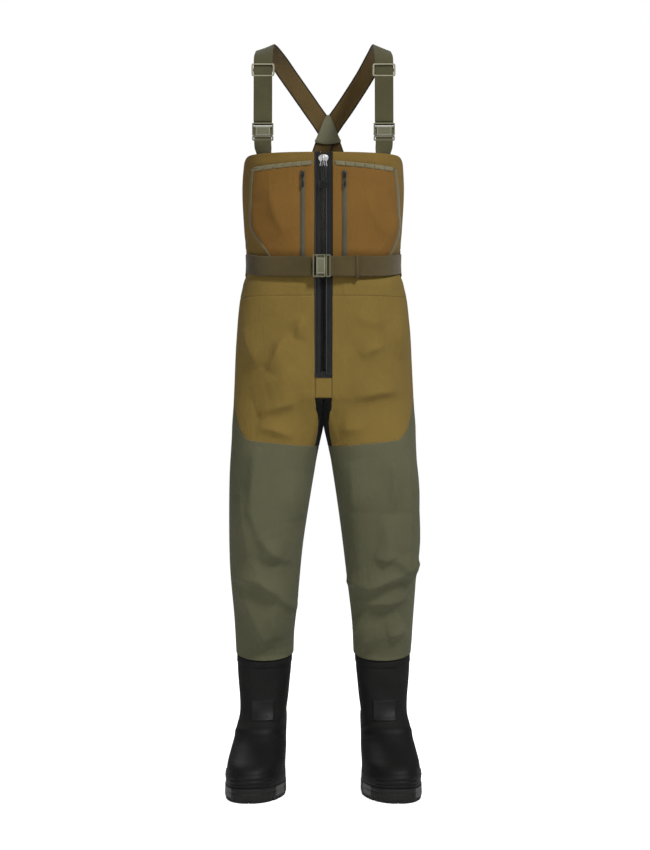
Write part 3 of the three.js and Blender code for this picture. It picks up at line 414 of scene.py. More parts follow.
# %% Tone group
def make_tone():
    tree, given, out = new_group(
        "handled_surface",
        [("Place", "Vector", None), ("Cloud Size", "Float", 9.0), ("Crease Size", "Float", 34.0)],
        [("Clouds", "Float"), ("Creases", "Float"), ("Specks", "Float")])

    def noise(place, scale, detail, **more):
        return put(tree, "ShaderNodeTexNoise", {"Vector": place, "Scale": scale,
                                                "Detail": detail, **more}).outputs[0]

    clouds = noise(given["Place"], given["Cloud Size"], 5.0, Roughness=0.6)
    stretched = put(tree, "ShaderNodeMapping", {0: given["Place"], 3: (1, 1, 0.45)}).outputs[0]
    creases = noise(stretched, given["Crease Size"], 6.0, Roughness=0.55, Distortion=1.1)
    ridged = maths(tree, "ABSOLUTE", maths(tree, "MULTIPLY_ADD", creases, 2.0, -1.0))
    specks = noise(given["Place"], 900.0, 2.0)
    tree.links.new(maths(tree, "MULTIPLY_ADD", clouds, 2.2, -0.6, True), out["Clouds"])
    tree.links.new(ridged, out["Creases"])
    tree.links.new(specks, out["Specks"])
    return tree

tone = make_tone()
print("tone group:", len(tone.nodes), "nodes")

# %% [markdown]
# ### Laminated cloth
# The shell is a matt nylon face bonded to a membrane. It has hardly any gloss, a faint sheen at
# grazing angles, cloudy changes of tone, a weave that shows close up and fine crumpling where it
# has been folded. The inner face is a smooth grey lining.

# %% Cloth finish
def fresh_material(name, roughness, metallic=0.0, sheen=0.0, coat=0.0, specular=0.5):
    made = bpy.data.materials.new(name)
    made.use_nodes = True
    shader = made.node_tree.nodes["Principled BSDF"]
    shader.inputs["Roughness"].default_value = roughness
    shader.inputs["Metallic"].default_value = metallic
    shader.inputs["Sheen Weight"].default_value = sheen
    shader.inputs["Coat Weight"].default_value = coat
    shader.inputs["Specular IOR Level"].default_value = specular
    place = put(made.node_tree, "ShaderNodeTexCoord").outputs["Object"]
    return made, made.node_tree, shader, place

def group(tree, which, **values):
    made = put(tree, "ShaderNodeGroup", node_tree=which)
    for key, value in values.items():
        socket = made.inputs[key.replace("_", " ")]
        if isinstance(value, bpy.types.NodeSocket):
            tree.links.new(value, socket)
        else:
            socket.default_value = value
    return made.outputs

def bump(tree, shader, height, distance, strength=1.0, under=None):
    made = put(tree, "ShaderNodeBump", {"Height": height, "Distance": distance,
                                        "Strength": strength})
    if under is not None:
        tree.links.new(under, made.inputs["Normal"])
    tree.links.new(made.outputs[0], shader.inputs["Normal"])
    return made.outputs[0]

def make_cloth(name, dark, light, middle=0.0, threads=1600.0):
    made, tree, shader, place = fresh_material(name, 0.82, sheen=0.05, specular=0.18)
    threads_out = group(tree, weave, Place=place, Threads=threads, Middle=middle)
    masks = group(tree, tone, Place=place, Cloud_Size=8.0, Crease_Size=30.0)
    base = blend_colours(tree, masks["Clouds"], colour(*dark), colour(*light))
    rubbed = maths(tree, "POWER", masks["Creases"], 2.2)
    pale = tuple(min(255, c * 1.13 + 5) for c in light)
    base = blend_colours(tree, maths(tree, "MULTIPLY", rubbed, 0.35), base, colour(*pale))
    base = blend_colours(tree, 0.35, base, threads_out["Shade"], "MULTIPLY")
    tree.links.new(base, shader.inputs["Base Color"])
    rough = maths(tree, "MULTIPLY_ADD", masks["Specks"], 0.22, 0.68)
    tree.links.new(rough, shader.inputs["Roughness"])
    crumple = bump(tree, shader, masks["Creases"], 0.0018, 0.7)
    bump(tree, shader, threads_out["Height"], 0.00016, 0.6, crumple)
    return made

bib_cloth = make_cloth("bib_cloth", (111, 88, 40), (123, 98, 45))
pocket_cloth = make_cloth("pocket_cloth", (113, 81, 33), (125, 90, 37))
hip_cloth = make_cloth("hip_cloth", (116, 96, 44), (128, 106, 50))
leg_cloth = make_cloth("leg_cloth", (86, 86, 64), (96, 95, 72), middle=0.11)
# painted shade: the gusset is near black to stand for the shadow between the legs
gusset_painted_shade = make_cloth("gusset_painted_shade", (3, 3, 3), (5, 5, 4))
lining_cloth = make_cloth("lining_cloth", (92, 90, 84), (108, 105, 97), threads=1200.0)
seam_edge_cloth = make_cloth("seam_edge_cloth", (152, 120, 64), (166, 132, 72))
print("seven cloth finishes")

# %% [markdown]
# ## The shape of the garment
# Above the fork the garment is one tube. Below it there are two legs. Half of the waders is
# drafted as one family of rings around a centre: high up the inner side of the ring is the flat
# middle plane, low down it is the round inside of the leg, and in between one turns into the
# other. The seam under the fork runs from front to back like a saddle, high at both ends.

# %% Rings of half a garment
LEG_CENTRE = 95.0                 # the rings' middle above the fork, away from the middle plane
ONE_TUBE, TWO_LEGS = 742, 655     # heights where the rings have become one kind or the other

def ray_length(angle, centre, half, front, back, start):
    """How far a ray from start travels before it meets a two-part rounded section."""
    low, high = np.zeros_like(angle), np.full_like(angle, 420.0)
    dx, dy = np.cos(angle), np.sin(angle)
    for _ in range(26):
        r = (low + high) / 2
        x = (start[0] + r * dx - centre[0]) / half
        y = start[1] + r * dy - centre[1]
        deep = np.abs(y / np.where(y < 0, front, back))
        inside = np.abs(x) ** ROUNDNESS + deep**ROUNDNESS < 1
        low, high = np.where(inside, r, low), np.where(inside, high, r)
    return (low + high) / 2

def saddle(angle):
    """Height of the seam under the fork, by the direction from the middle of a leg."""
    away = LEG_CENTRE * np.abs(np.tan(np.minimum(np.pi - np.abs(angle), math.radians(48))))
    return CROTCH + (FORK - CROTCH) * np.clip(away / 105, 0, 1) ** 2.2

def skin(angle, z):
    """Points of the left half's outer face: angle 0 looks outwards and +-180 degrees inwards."""
    angle, z = np.broadcast_arrays(np.asarray(angle, float), np.asarray(z, float))
    torso, leg = read(TORSO, np.maximum(z, TORSO[0][0])), read(LEG, z)
    ox = np.where(z > ONE_TUBE, LEG_CENTRE, leg[..., 1])
    oy = np.where(z > ONE_TUBE, SIDE_Y, leg[..., 3])
    wide = ray_length(angle, (0, SIDE_Y), torso[..., 1], torso[..., 2], torso[..., 3], (ox, oy))
    inward = np.cos(angle) < 0
    wall = np.where(inward, ox / np.maximum(-np.cos(angle), 1e-6), 1e6)
    wide = np.minimum(wide, wall)
    slim = ray_length(angle, (leg[..., 1], leg[..., 3]), leg[..., 2], leg[..., 4], leg[..., 5],
                      (ox, oy))
    share = np.clip((z - TWO_LEGS) / (saddle(angle) - TWO_LEGS), 0, 1) ** 2
    r = slim + (wide - slim) * share
    return np.stack([ox + r * np.cos(angle), oy + r * np.sin(angle), z], -1)

def angle_at(x, z, back=False):
    """The angle at which the skin passes a distance x from the middle plane."""
    x, z = np.broadcast_arrays(np.asarray(x, float), np.asarray(z, float))
    low, high = np.full(x.shape, math.radians(3)), np.full(x.shape, math.radians(179.9))
    sign = 1 if back else -1
    for _ in range(28):
        middle = (low + high) / 2
        beyond = skin(sign * middle, z)[..., 0] > x
        low, high = np.where(beyond, middle, low), np.where(beyond, high, middle)
    return sign * (low + high) / 2

print("hip width at the fork:", round(2 * float(skin(0.0, FORK)[0])), "mm")

# %% [markdown]
# ### Seams
# Each panel is cut along its real seams. The hip panels end in a seam that runs level across the
# thigh and climbs at the outer side, and their inner edge curves away from the middle below the
# fork, where a gusset fills the gap, painted near black as the shade between the legs. All panels
# read these same lines, so they always meet.

# %% Seam lines
GUSSET_EDGE = [(690, 17), (700, 15), (715, 12), (735, 10), (750, 11.5), (765, 14), (784, 16.5),
               (2000, 16.5)]                                             # z, x

def gusset_edge(z):
    z0, x0 = zip(*GUSSET_EDGE)
    return np.interp(z, z0, x0)

def thigh_seam(angle):
    """Height of the seam between hip and leg, by direction from the middle of the leg."""
    turn = np.degrees(np.abs(np.asarray(angle, float)))
    climb = np.sin(np.clip(1 - turn / 62, 0, 1) * np.pi / 2) ** 2
    return 700 + 90 * climb - 10 * np.clip((turn - 60) / 60, 0, 1)

def top_edge(angle):
    """The bib's top edge dips at the sides, where the cloth rolls over."""
    turn = np.degrees(np.abs(np.asarray(angle, float)))
    return BIB_TOP - 15 * np.exp(-((turn / 26) ** 2))

print("thigh seam from", float(thigh_seam(math.pi)), "to", float(thigh_seam(0.0)), "mm")

# %% [markdown]
# ### How the cloth hangs
# Folds are what make cloth look like cloth. Each large fold is drawn as a line over the
# front or the back, with a width and a height: the cloth climbs gently to the line on one side
# and drops sharply on the other, which gives the crisp edges of stiff laminate. Soft waves fill
# the rest, with a fixed seed so that every run gives the same garment. A cloth simulation was the
# other choice. It isn't used: these legs hang almost straight, and a simulation wouldn't put the
# folds where they belong.

# %% Folds on the front
FRONT_FOLDS = [
    # points (x, z), width, height
    ([(-38, 946), (-44, 925), (-53, 900)], 12, 3.4),
    ([(-62, 912), (-84, 889), (-93, 862), (-110, 840)], 12, 4.2),
    ([(-157, 925), (-142, 880), (-128, 845)], 16, 3.6),
    ([(-130, 752), (-90, 765), (-52, 778)], 14, 4.2),
    ([(-130, 727), (-96, 720), (-60, 706)], 11, 3.2),
    ([(58, 784), (108, 794), (146, 798)], 13, 3.8),
    ([(70, 866), (94, 878), (120, 888)], 14, 3.2),
    ([(150, 950), (146, 905), (150, 860)], 14, 2.4),
    ([(-54, 842), (-80, 820), (-112, 812)], 18, 2.0),
    ([(34, 726), (52, 722), (84, 726)], 12, 2.0),
    ([(60, 948), (96, 930), (118, 934)], 16, 1.8),
    ([(-134, 690), (-137, 620), (-140, 560), (-122, 500)], 17, 4.8),
    ([(-162, 600), (-156, 530), (-147, 470)], 11, 3.0),
    ([(-128, 512), (-106, 485), (-84, 470)], 12, 3.0),
    ([(-178, 428), (-128, 423), (-97, 400), (-58, 360)], 13, 5.2),
    ([(-170, 412), (-144, 362), (-124, 312), (-116, 276)], 16, 4.4),
    ([(-126, 470), (-100, 474), (-66, 460)], 12, 3.0),
    ([(-88, 392), (-104, 350), (-98, 300)], 18, 2.6),
    ([(136, 660), (138, 610), (136, 560)], 9, 3.2),
    ([(163, 676), (166, 600), (162, 500), (160, 440)], 14, 4.0),
    ([(142, 470), (160, 444), (186, 458)], 10, 3.6),
    ([(44, 422), (92, 410), (134, 428), (188, 444)], 13, 5.4),
    ([(98, 474), (122, 464), (146, 476)], 12, 3.2),
    ([(70, 384), (98, 378), (136, 380), (170, 392)], 12, 4.2),
    ([(96, 372), (76, 340), (69, 314)], 12, 3.8),
    ([(66, 330), (84, 304), (90, 272)], 12, 3.6),
    ([(128, 308), (146, 314), (166, 326)], 12, 3.0),
    ([(120, 552), (128, 500), (120, 460)], 18, 2.8),
    ([(-60, 640), (-66, 590), (-60, 540)], 20, 2.6),
    ([(52, 660), (60, 610), (58, 560)], 20, 2.6),
    ([(-150, 1252), (-118, 1248), (-70, 1253), (-24, 1256)], 6, 1.3),
    ([(30, 1255), (80, 1251), (140, 1254)], 6, 1.1),
    ([(-140, 1170), (-132, 1120), (-112, 1084)], 12, 2.0),
    ([(142, 1150), (134, 1110), (114, 1080)], 12, 1.9),
    ([(-106, 1204), (-96, 1150), (-74, 1102)], 14, 2.2),
    ([(78, 1190), (100, 1134), (126, 1100)], 15, 2.0),
]
BACK_FOLDS = [
    ([(-120, 960), (-60, 930), (0, 924), (60, 930), (120, 958)], 20, 3.0),
    ([(-140, 850), (-90, 815), (-40, 800)], 16, 4.0),
    ([(140, 846), (90, 812), (40, 800)], 16, 4.0),
    ([(-150, 790), (-100, 760), (-50, 748)], 14, 3.2),
    ([(150, 784), (104, 756), (52, 748)], 14, 3.2),
    ([(-170, 520), (-120, 500), (-60, 520)], 12, 4.2),
    ([(-166, 480), (-116, 466), (-64, 488)], 11, 3.4),
    ([(170, 512), (120, 494), (62, 512)], 12, 4.2),
    ([(168, 476), (118, 458), (66, 478)], 11, 3.4),
    ([(-150, 400), (-118, 372), (-76, 368)], 12, 3.4),
    ([(154, 392), (120, 366), (80, 372)], 12, 3.4),
    ([(-130, 660), (-136, 610), (-126, 560)], 16, 2.6),
    ([(126, 664), (134, 604), (124, 560)], 16, 2.6),
    ([(-100, 1220), (-90, 1150), (-96, 1090)], 18, 2.2),
    ([(104, 1210), (92, 1146), (98, 1086)], 18, 2.2),
]

FOLD_GAIN, GENTLE, STEEP = 3.3, 2.0, 0.7

def fold_height(x, z, folds):
    """Adds up the folds: each is gentle on the left of its line's run and steep on the right."""
    total = np.zeros_like(x)
    for line, width, height in folds:
        best = np.full_like(x, 1e9)
        side = np.zeros_like(x)
        along = np.zeros_like(x)
        pieces = len(line) - 1
        for k in range(pieces):
            (ax, az), (bx, bz) = line[k], line[k + 1]
            dx, dz = bx - ax, bz - az
            length = math.hypot(dx, dz)
            t = np.clip(((x - ax) * dx + (z - az) * dz) / length**2, 0, 1)
            gap = np.hypot(x - ax - t * dx, z - az - t * dz)
            cross = (dx * (z - az) - dz * (x - ax)) / length
            nearer = gap < best
            best = np.where(nearer, gap, best)
            side = np.where(nearer, np.sign(cross), side)
            along = np.where(nearer, (k + t) / pieces, along)
        signed = best * side
        taper = np.sin(np.pi * np.clip(along * 0.98 + 0.01, 0, 1)) ** 0.7
        reach = np.where(signed > 0, GENTLE, STEEP) * width
        total += FOLD_GAIN * height * taper * np.exp(-(np.sqrt(signed**2 + 6.0) - 2.45) / reach)
    return total

print(len(FRONT_FOLDS), "folds in front and", len(BACK_FOLDS), "behind")

# %% Soft waves and the places that stay flat
rng = np.random.default_rng(11)
WAVES = [(rng.uniform(0, 2 * np.pi), rng.uniform(55, 190), rng.uniform(-1.1, 1.1),
          rng.uniform(0, 2 * np.pi)) for _ in range(26)]

def waves(p):
    """Gentle unevenness from many plane waves, longer up the garment than around it."""
    total = np.zeros(p.shape[:-1])
    for turn, length, tilt, start in WAVES:
        wave = (p[..., 0] * math.cos(turn) + p[..., 1] * math.sin(turn)) + p[..., 2] * tilt * 0.45
        total += np.sin(wave * 2 * np.pi / length + start) * (length / 190) ** 0.8
    return total / math.sqrt(len(WAVES))

def near(value, middle, reach):
    return np.exp(-(((value - middle) / reach) ** 2))

def hang(p, normal):
    """How far the cloth stands out from its drafted shape, in millimetres."""
    x, z = p[..., 0], p[..., 2]
    facing = -normal[..., 1]
    total = 1.5 * waves(p)
    total += fold_height(x, z, FRONT_FOLDS) * smooth(facing, 0.0, 0.35)
    total += fold_height(x, z, BACK_FOLDS) * smooth(-facing, 0.0, 0.35)
    total *= 1 - 0.88 * near(z, BELT + 6, 34)
    under_anchor = smooth(-facing, 0.3, 0.6) * smooth(z, 1190, 1215) * smooth(-np.abs(x), -75, -56)
    total *= 1 - 0.9 * under_anchor
    stiff = smooth(facing, 0.2, 0.4) * smooth(z, 1040, 1056) * near(np.abs(x), 41, 16)
    total *= 1 - 0.85 * stiff
    belt = BELT + 12 * smooth(p[..., 1], -97, 6)
    total += (1.6 * near(z, belt + 31, 9) - 2.4 * near(z, belt + 4, 24)
              + 1.8 * near(z, belt - 36, 13))
    front_middle = (facing > 0.3) & (z > 800)
    calm = np.where(front_middle, smooth(np.abs(x), 20, 52), 1.0)
    calm = calm * smooth(z, HEM - 2, HEM + 40)
    calm = np.where(z > 1225, calm * (1 - 0.55 * smooth(z, 1225, 1262)), calm)
    return total * calm

print("waves:", len(WAVES))

# %% [markdown]
# ## Garment panels
# Every panel is a grid of points on the skin, moved by the hang of the cloth and given thickness.
# The rows crowd together next to a seam, and the cloth turns in slightly there, so each seam reads
# as a fine groove between two edges.

# %% Panel helpers
CLOTH, SEAM_IN = 1.1, 0.7         # thickness, and how far the cloth turns in at a seam

def crowded(count):
    """Shares from 0 to 1 that crowd at both ends, for the cloth next to a seam."""
    return np.unique(np.concatenate([np.linspace(0, 1, count), [0.004, 0.010, 0.990, 0.996]]))

def outward_normals(points):
    down = np.gradient(points, axis=0)
    along = np.gradient(points, axis=1)
    normal = np.cross(along, down)
    normal /= np.maximum(np.linalg.norm(normal, axis=-1, keepdims=True), 1e-9)
    return normal

def hung(angle, z, side, edges=(True, True, True, True)):
    """A panel's grid after hanging. Edges are low, high, first and last column."""
    base = skin(angle, z)
    base[..., 0] *= side
    normal = outward_normals(base)
    middle = base[..., :2] - np.stack([side * np.where(base[..., 2] > ONE_TUBE, 80.0, 105.0),
                                       np.full(z.shape, SIDE_Y)], -1)
    turned = np.sum(normal[..., :2] * middle, -1).mean() < 0
    if turned:
        normal = -normal
    out = hang(base, normal)
    for flag, axis, end in zip(edges, (0, 0, 1, 1), (0, -1, 0, -1)):
        if not flag:
            continue
        for step, share in ((0, 1.0), (1, 0.45)):
            index = step if end == 0 else -1 - step
            place = (index, slice(None)) if axis == 0 else (slice(None), index)
            out[place] = out[place] - SEAM_IN * share
    return base + normal * out[..., None], turned

def panel(name, grids, replaced, slot, paints, weld=0.0, below=None, hem_faces=0):
    """The last paint is the lining. The second takes the faces below a height, or the first ones."""
    made = from_grids(name, grids, "garment", weld=weld, replaced=replaced, slot=slot)
    for paint in paints:
        made.data.materials.append(paint)
    if below is not None:
        low = [int(face.center.z < below * MM) for face in made.data.polygons]
        made.data.polygons.foreach_set("material_index", low)
    for face in made.data.polygons[:hem_faces]:
        face.material_index = 1
    thicken(made, CLOTH, lining=len(paints) - 1)
    print(name, len(made.data.vertices), "points")
    return made

print("panel helpers ready")

# %% Bib
ROW_STEP, ACROSS = 3.9, 56        # row height in millimetres, and columns from seam to seam
bib_levels = crowded(int((BIB_TOP - WAIST_SEAM) / ROW_STEP))

def bib_grid(side, first, last):
    """Columns run between two angles, each a function of height."""
    share = crowded(ACROSS)[None, :]
    rows = bib_levels[:, None]
    z_ref = WAIST_SEAM + (BIB_TOP - WAIST_SEAM) * rows
    a, b = first(z_ref), last(z_ref)
    angle = a + (b - a) * share
    z = WAIST_SEAM + (top_edge(angle) - WAIST_SEAM) * rows
    return hung(angle, z, side)

def zip_edge(z):
    return angle_at(ZIP_HALF + 0.4, z)

def side_seam(z):
    return np.zeros_like(z)

def back_middle(z):
    return angle_at(0.2, z, back=True)

for side_name, side in SIDES.items():
    panel(f"bib_front_cloth_{side_name}", [bib_grid(side, zip_edge, side_seam)],
          [f"bib_front_{side_name}"], "bib_fabric", [bib_cloth, hip_cloth, lining_cloth],
          below=BELT)
panel("bib_back_cloth", [bib_grid(side, side_seam, back_middle) for side in (-1, 1)],
      ["bib_back"], "hip_fabric", [bib_cloth, hip_cloth, lining_cloth], weld=0.6, below=BELT)

# %% Hips and seat
GUSSET_FOOT = 690.0

def hip_grid(side, sign):
    """From the gusset's edge to the side seam, between the thigh seam and the waist seam."""
    share = crowded(ACROSS)
    low = np.full(share.shape, GUSSET_FOOT)
    for _ in range(12):
        edge = angle_at(gusset_edge(low), low)
        low = thigh_seam(edge * (1 - share))
    level = crowded(76)[:, None]
    z = low[None, :] + (WAIST_SEAM - low[None, :]) * level
    angle = sign * np.abs(angle_at(gusset_edge(z), z, back=sign > 0)) * (1 - share[None, :])
    return hung(angle, z, side)

def strip_grid(high, half, back, rows):
    """The straight strip of cloth over the middle, above the fork."""
    z = np.linspace(FORK, high, rows)[:, None] + np.zeros((1, 9))
    x = np.linspace(-half, half, 9)[None, :] + np.zeros((rows, 1))
    base = skin(angle_at(np.abs(x), z, back), z)
    base[..., 0] = x
    normal = np.zeros_like(base)
    normal[..., 1] = 1 if back else -1
    out = hang(base, normal)
    return base + normal * out[..., None], back

for side_name, side in SIDES.items():
    panel(f"hip_front_cloth_{side_name}", [hip_grid(side, -1)], [f"hip_front_{side_name}"],
          "hip_fabric", [hip_cloth, seam_edge_cloth, lining_cloth],
          hem_faces=len(crowded(ACROSS)) - 1)
panel("seat_cloth", [hip_grid(-1, 1), hip_grid(1, 1),
                     strip_grid(WAIST_SEAM + 1.8, 16.5, True, 46)],
      ["seat_back"], "hip_fabric", [hip_cloth, lining_cloth], weld=0.9)
panel("fly_panel", [strip_grid(ZIP_FOOT + 3, 16.2, False, 14)], [], "hip_fabric",
      [hip_cloth, lining_cloth])

# %% Legs
def hem_height(angle):
    """The hem droops in front and rises at both sides."""
    return HEM - 6.5 + 10.5 * np.cos(angle) ** 2 + 3 * np.sin(angle)

def leg_grid(side):
    level = crowded(116)[:, None]
    angle = np.linspace(-np.pi, np.pi, 136)[None, :] + np.zeros(level.shape)
    hem = hem_height(angle)
    z = hem + (thigh_seam(angle) - hem) * level
    return hung(angle, z, side, edges=(False, True, False, False))

for side_name, side in SIDES.items():
    panel(f"leg_cloth_{side_name}", [leg_grid(side)], [f"leg_{side_name}"], "leg_fabric",
          [leg_cloth, lining_cloth], weld=0.5)

# %% Gusset
def gusset_grid(side):
    """The cloth under the fork, a little wider than the gap that it fills, painted near black as the shadow
    between the legs.
    """
    level = np.linspace(0, 1, 16)[:, None]
    share = np.linspace(0, 1, 40)[None, :]
    edge_z = GUSSET_FOOT + (FORK - GUSSET_FOOT) * level
    edge = -np.abs(angle_at(gusset_edge(edge_z) + 2.2, edge_z))
    angle = -np.pi + (edge + np.pi) * (1 - 2 * share)
    top = -np.pi + (edge[-1:] + np.pi) * (1 - 2 * share)
    wrapped = np.where(top < -np.pi, top + 2 * np.pi, top)
    z = GUSSET_FOOT + (saddle(wrapped) - GUSSET_FOOT) * level
    z[:, 0], z[:, -1] = edge_z[:, 0], edge_z[:, 0]
    base = skin(np.where(angle < -np.pi, angle + 2 * np.pi, angle), z)
    away = 0.014 * smooth(base[..., :1], 0.5, 7)
    base[..., :2] += away * (np.array([LEG_CENTRE, SIDE_Y]) - base[..., :2])
    base[..., 0] *= side
    return base, side > 0

panel("crotch_gusset_cloth", [gusset_grid(side) for side in (-1, 1)], ["crotch_gusset"],
      "leg_fabric", [gusset_painted_shade, gusset_painted_shade], weld=0.4)

# %% [markdown]
# ## Webbing, rubber, plastic and metal
# Webbing is ribbed across its run with a nap that scatters light. The zip is coated in glossy
# rubber. Buckles are moulded plastic with paler rims. The sliders are cast
# metal with fine scratches, and the boots are matt black rubber with scuffs and grey dust.

# %% Webbing group and finish
def make_ribs():
    tree, given, out = new_group(
        "webbing_ribs",
        [("Along", "Float", 0.0), ("Across", "Float", 0.0), ("Pitch", "Float", 700.0)],
        [("Height", "Float")])
    rows = maths(tree, "MULTIPLY", given["Along"], given["Pitch"])
    cords = maths(tree, "MULTIPLY", given["Across"], maths(tree, "MULTIPLY", given["Pitch"], 1.35))
    shift = maths(tree, "MULTIPLY", maths(tree, "FLOOR", cords), 0.5)
    picks = ridges(tree, maths(tree, "ADD", rows, shift))
    valley = maths(tree, "POWER", ridges(tree, cords), 0.5)
    tree.links.new(maths(tree, "MULTIPLY", valley, picks), out["Height"])
    return tree

ribs = make_ribs()

def make_webbing(name, dark, light, along="z"):
    made, tree, shader, place = fresh_material(name, 0.88, sheen=0.2, specular=0.25)
    parts = put(tree, "ShaderNodeSeparateXYZ", {0: place}).outputs
    run = {"z": (2, 0), "x": (0, 2)}[along]
    high = group(tree, ribs, Along=parts[run[0]], Across=parts[run[1]], Pitch=640.0)["Height"]
    masks = group(tree, tone, Place=place, Cloud_Size=16.0, Crease_Size=60.0)
    base = blend_colours(tree, masks["Clouds"], colour(*dark), colour(*light))
    shade = maths(tree, "MULTIPLY_ADD", high, 0.4, 0.72)
    base = blend_colours(tree, 0.6, base, shade, "MULTIPLY")
    tree.links.new(base, shader.inputs["Base Color"])
    bump(tree, shader, high, 0.0004, 0.8)
    return made

strap_webbing = make_webbing("strap_webbing", (69, 66, 42), (82, 78, 51))
strap_lining = make_webbing("strap_lining", (96, 77, 40), (113, 91, 50))
strap_edge = make_webbing("strap_edge", (30, 29, 22), (38, 37, 28))
belt_webbing_paint = make_webbing("belt_webbing_paint", (71, 60, 32), (88, 75, 41), along="x")
tape_olive = make_webbing("tape_olive", (113, 107, 80), (130, 123, 93), along="x")
edge_tape_paint = make_webbing("edge_tape_paint", (98, 90, 61), (112, 103, 72))
coil_tape = make_webbing("coil_tape", (79, 74, 57), (94, 88, 69))

# %% Moulded and cast finishes
def make_hard(name, dark, light, roughness, metallic=0.0, coat=0.0, scratch=0.25, specular=0.5,
              dust=0.0):
    made, tree, shader, place = fresh_material(name, roughness, metallic, coat=coat,
                                               specular=specular)
    masks = group(tree, tone, Place=place, Cloud_Size=22.0, Crease_Size=90.0)
    base = blend_colours(tree, masks["Clouds"], colour(*dark), colour(*light))
    fine = maths(tree, "GREATER_THAN", masks["Specks"], 0.66)
    pale = tuple(min(255, c * 1.3 + 16) for c in light)
    base = blend_colours(tree, maths(tree, "MULTIPLY", fine, dust), base, colour(*pale))
    tree.links.new(base, shader.inputs["Base Color"])
    rough = maths(tree, "MULTIPLY_ADD", masks["Creases"], scratch, roughness - scratch * 0.3)
    tree.links.new(rough, shader.inputs["Roughness"])
    bump(tree, shader, masks["Specks"], 0.00012, 0.5)
    return made

zip_rubber = make_hard("zip_rubber", (12, 13, 14), (19, 21, 22), 0.38, scratch=0.2, coat=0.1)
tooth_plastic = make_hard("tooth_plastic", (14, 15, 15), (24, 25, 25), 0.36)
cast_metal = make_hard("cast_metal", (222, 222, 223), (238, 238, 238), 0.36, metallic=0.7)
dark_metal = make_hard("dark_metal", (70, 70, 66), (92, 92, 88), 0.34, metallic=1.0)
buckle_plastic = make_hard("buckle_plastic", (95, 94, 73), (109, 107, 84), 0.5, dust=0.2)
buckle_rim = make_hard("buckle_rim", (139, 137, 114), (158, 156, 132), 0.46, dust=0.2)
patch_rubber = make_hard("patch_rubber", (110, 108, 81), (123, 121, 92), 0.62, dust=0.15)
boot_rubber = make_hard("boot_rubber", (10, 10, 10), (17, 17, 17), 0.66, scratch=0.3, dust=0.2,
                        specular=0.24)
boot_neoprene = make_hard("boot_neoprene", (18, 18, 18), (26, 26, 25), 0.78, dust=0.25,
                          specular=0.2)
sole_rubber = make_hard("sole_rubber", (24, 24, 24), (33, 33, 32), 0.64, dust=0.35,
                        specular=0.26)
# painted highlight: light grey for the patches where light catches the sole wall at both sides of the forefoot
sole_wall_highlight = make_hard("sole_wall_highlight", (62, 62, 61), (78, 78, 77), 0.6, dust=0.4)
pad_rubber = make_hard("pad_rubber", (19, 19, 19), (27, 27, 27), 0.6, scratch=0.3, dust=0.25,
                       specular=0.22)
print(len(bpy.data.materials), "materials")

# %% [markdown]
# ## Helpers for hard parts
# Plates are cut from flat outlines with holes, extruded with a rolled edge; tubes and ribbons are
# swept along a line of points; blocks are bevelled. Parts of one moulding are combined into one
# object, because they move together.

# %% Plates, tubes, blocks
TOUCHING, CORNER_STEPS = 0.001, 5

def keep_mesh(curve):
    """The mesh that a curve makes, without the curve."""
    holder = bpy.data.objects.new(curve.name, curve)
    scene.collection.objects.link(holder)
    bpy.context.view_layer.update()
    mesh = bpy.data.meshes.new_from_object(
        holder.evaluated_get(bpy.context.evaluated_depsgraph_get()))
    bpy.data.objects.remove(holder)
    return mesh

def plate(loops, depth, bevel=0.5, steps=2):
    """A plate cut from flat loops: the first is its outline and the others are holes."""
    curve = bpy.data.curves.new("outline", "CURVE")
    curve.dimensions, curve.fill_mode = "2D", "BOTH"
    curve.extrude, curve.bevel_depth = (depth / 2 - bevel) * MM, bevel * MM
    curve.bevel_resolution, curve.offset = steps, -bevel * MM
    for loop in loops:
        spline = curve.splines.new("POLY")
        spline.points.add(len(loop) - 1)
        for point, (x, y) in zip(spline.points, loop):
            point.co = (x * MM, y * MM, 0, 1)
        spline.use_cyclic_u = True
    mesh = keep_mesh(curve)
    mend(mesh, TOUCHING, turn_out=False)
    return mesh

def rounded(x0, x1, y0, y1, radius):
    radius = min(radius, (x1 - x0) / 2, (y1 - y0) / 2)
    points = []
    for cx, cy, start in ((x1 - radius, y1 - radius, 0), (x0 + radius, y1 - radius, 90),
                          (x0 + radius, y0 + radius, 180), (x1 - radius, y0 + radius, 270)):
        for k in range(CORNER_STEPS + 1):
            a = math.radians(start + 90 * k / CORNER_STEPS)
            points.append((cx + radius * math.cos(a), cy + radius * math.sin(a)))
    return points

def block(x0, x1, y0, y1, z0, z1, bevel=0.5, steps=2):
    bm = bmesh.new()
    bmesh.ops.create_cube(bm, size=1)
    for v in bm.verts:
        v.co = ((x0 + x1) / 2 + v.co.x * (x1 - x0), (y0 + y1) / 2 + v.co.y * (y1 - y0),
                (z0 + z1) / 2 + v.co.z * (z1 - z0))
        v.co *= MM
    if bevel:
        bmesh.ops.bevel(bm, geom=list(bm.edges), offset=bevel * MM, segments=steps, profile=0.5,
                        affect="EDGES")
    mesh = bpy.data.meshes.new("block")
    bm.to_mesh(mesh)
    bm.free()
    return mesh

def tube(points, radius, closed=False):
    curve = bpy.data.curves.new("line", "CURVE")
    curve.dimensions, curve.bevel_depth, curve.bevel_resolution = "3D", radius * MM, 3
    curve.use_fill_caps = True
    spline = curve.splines.new("NURBS")
    spline.points.add(len(points) - 1)
    for point, p in zip(spline.points, points):
        point.co = (*(v * MM for v in p), 1)
    spline.use_cyclic_u, spline.use_endpoint_u, spline.order_u = closed, not closed, 3
    spline.resolution_u = 6
    return keep_mesh(curve)

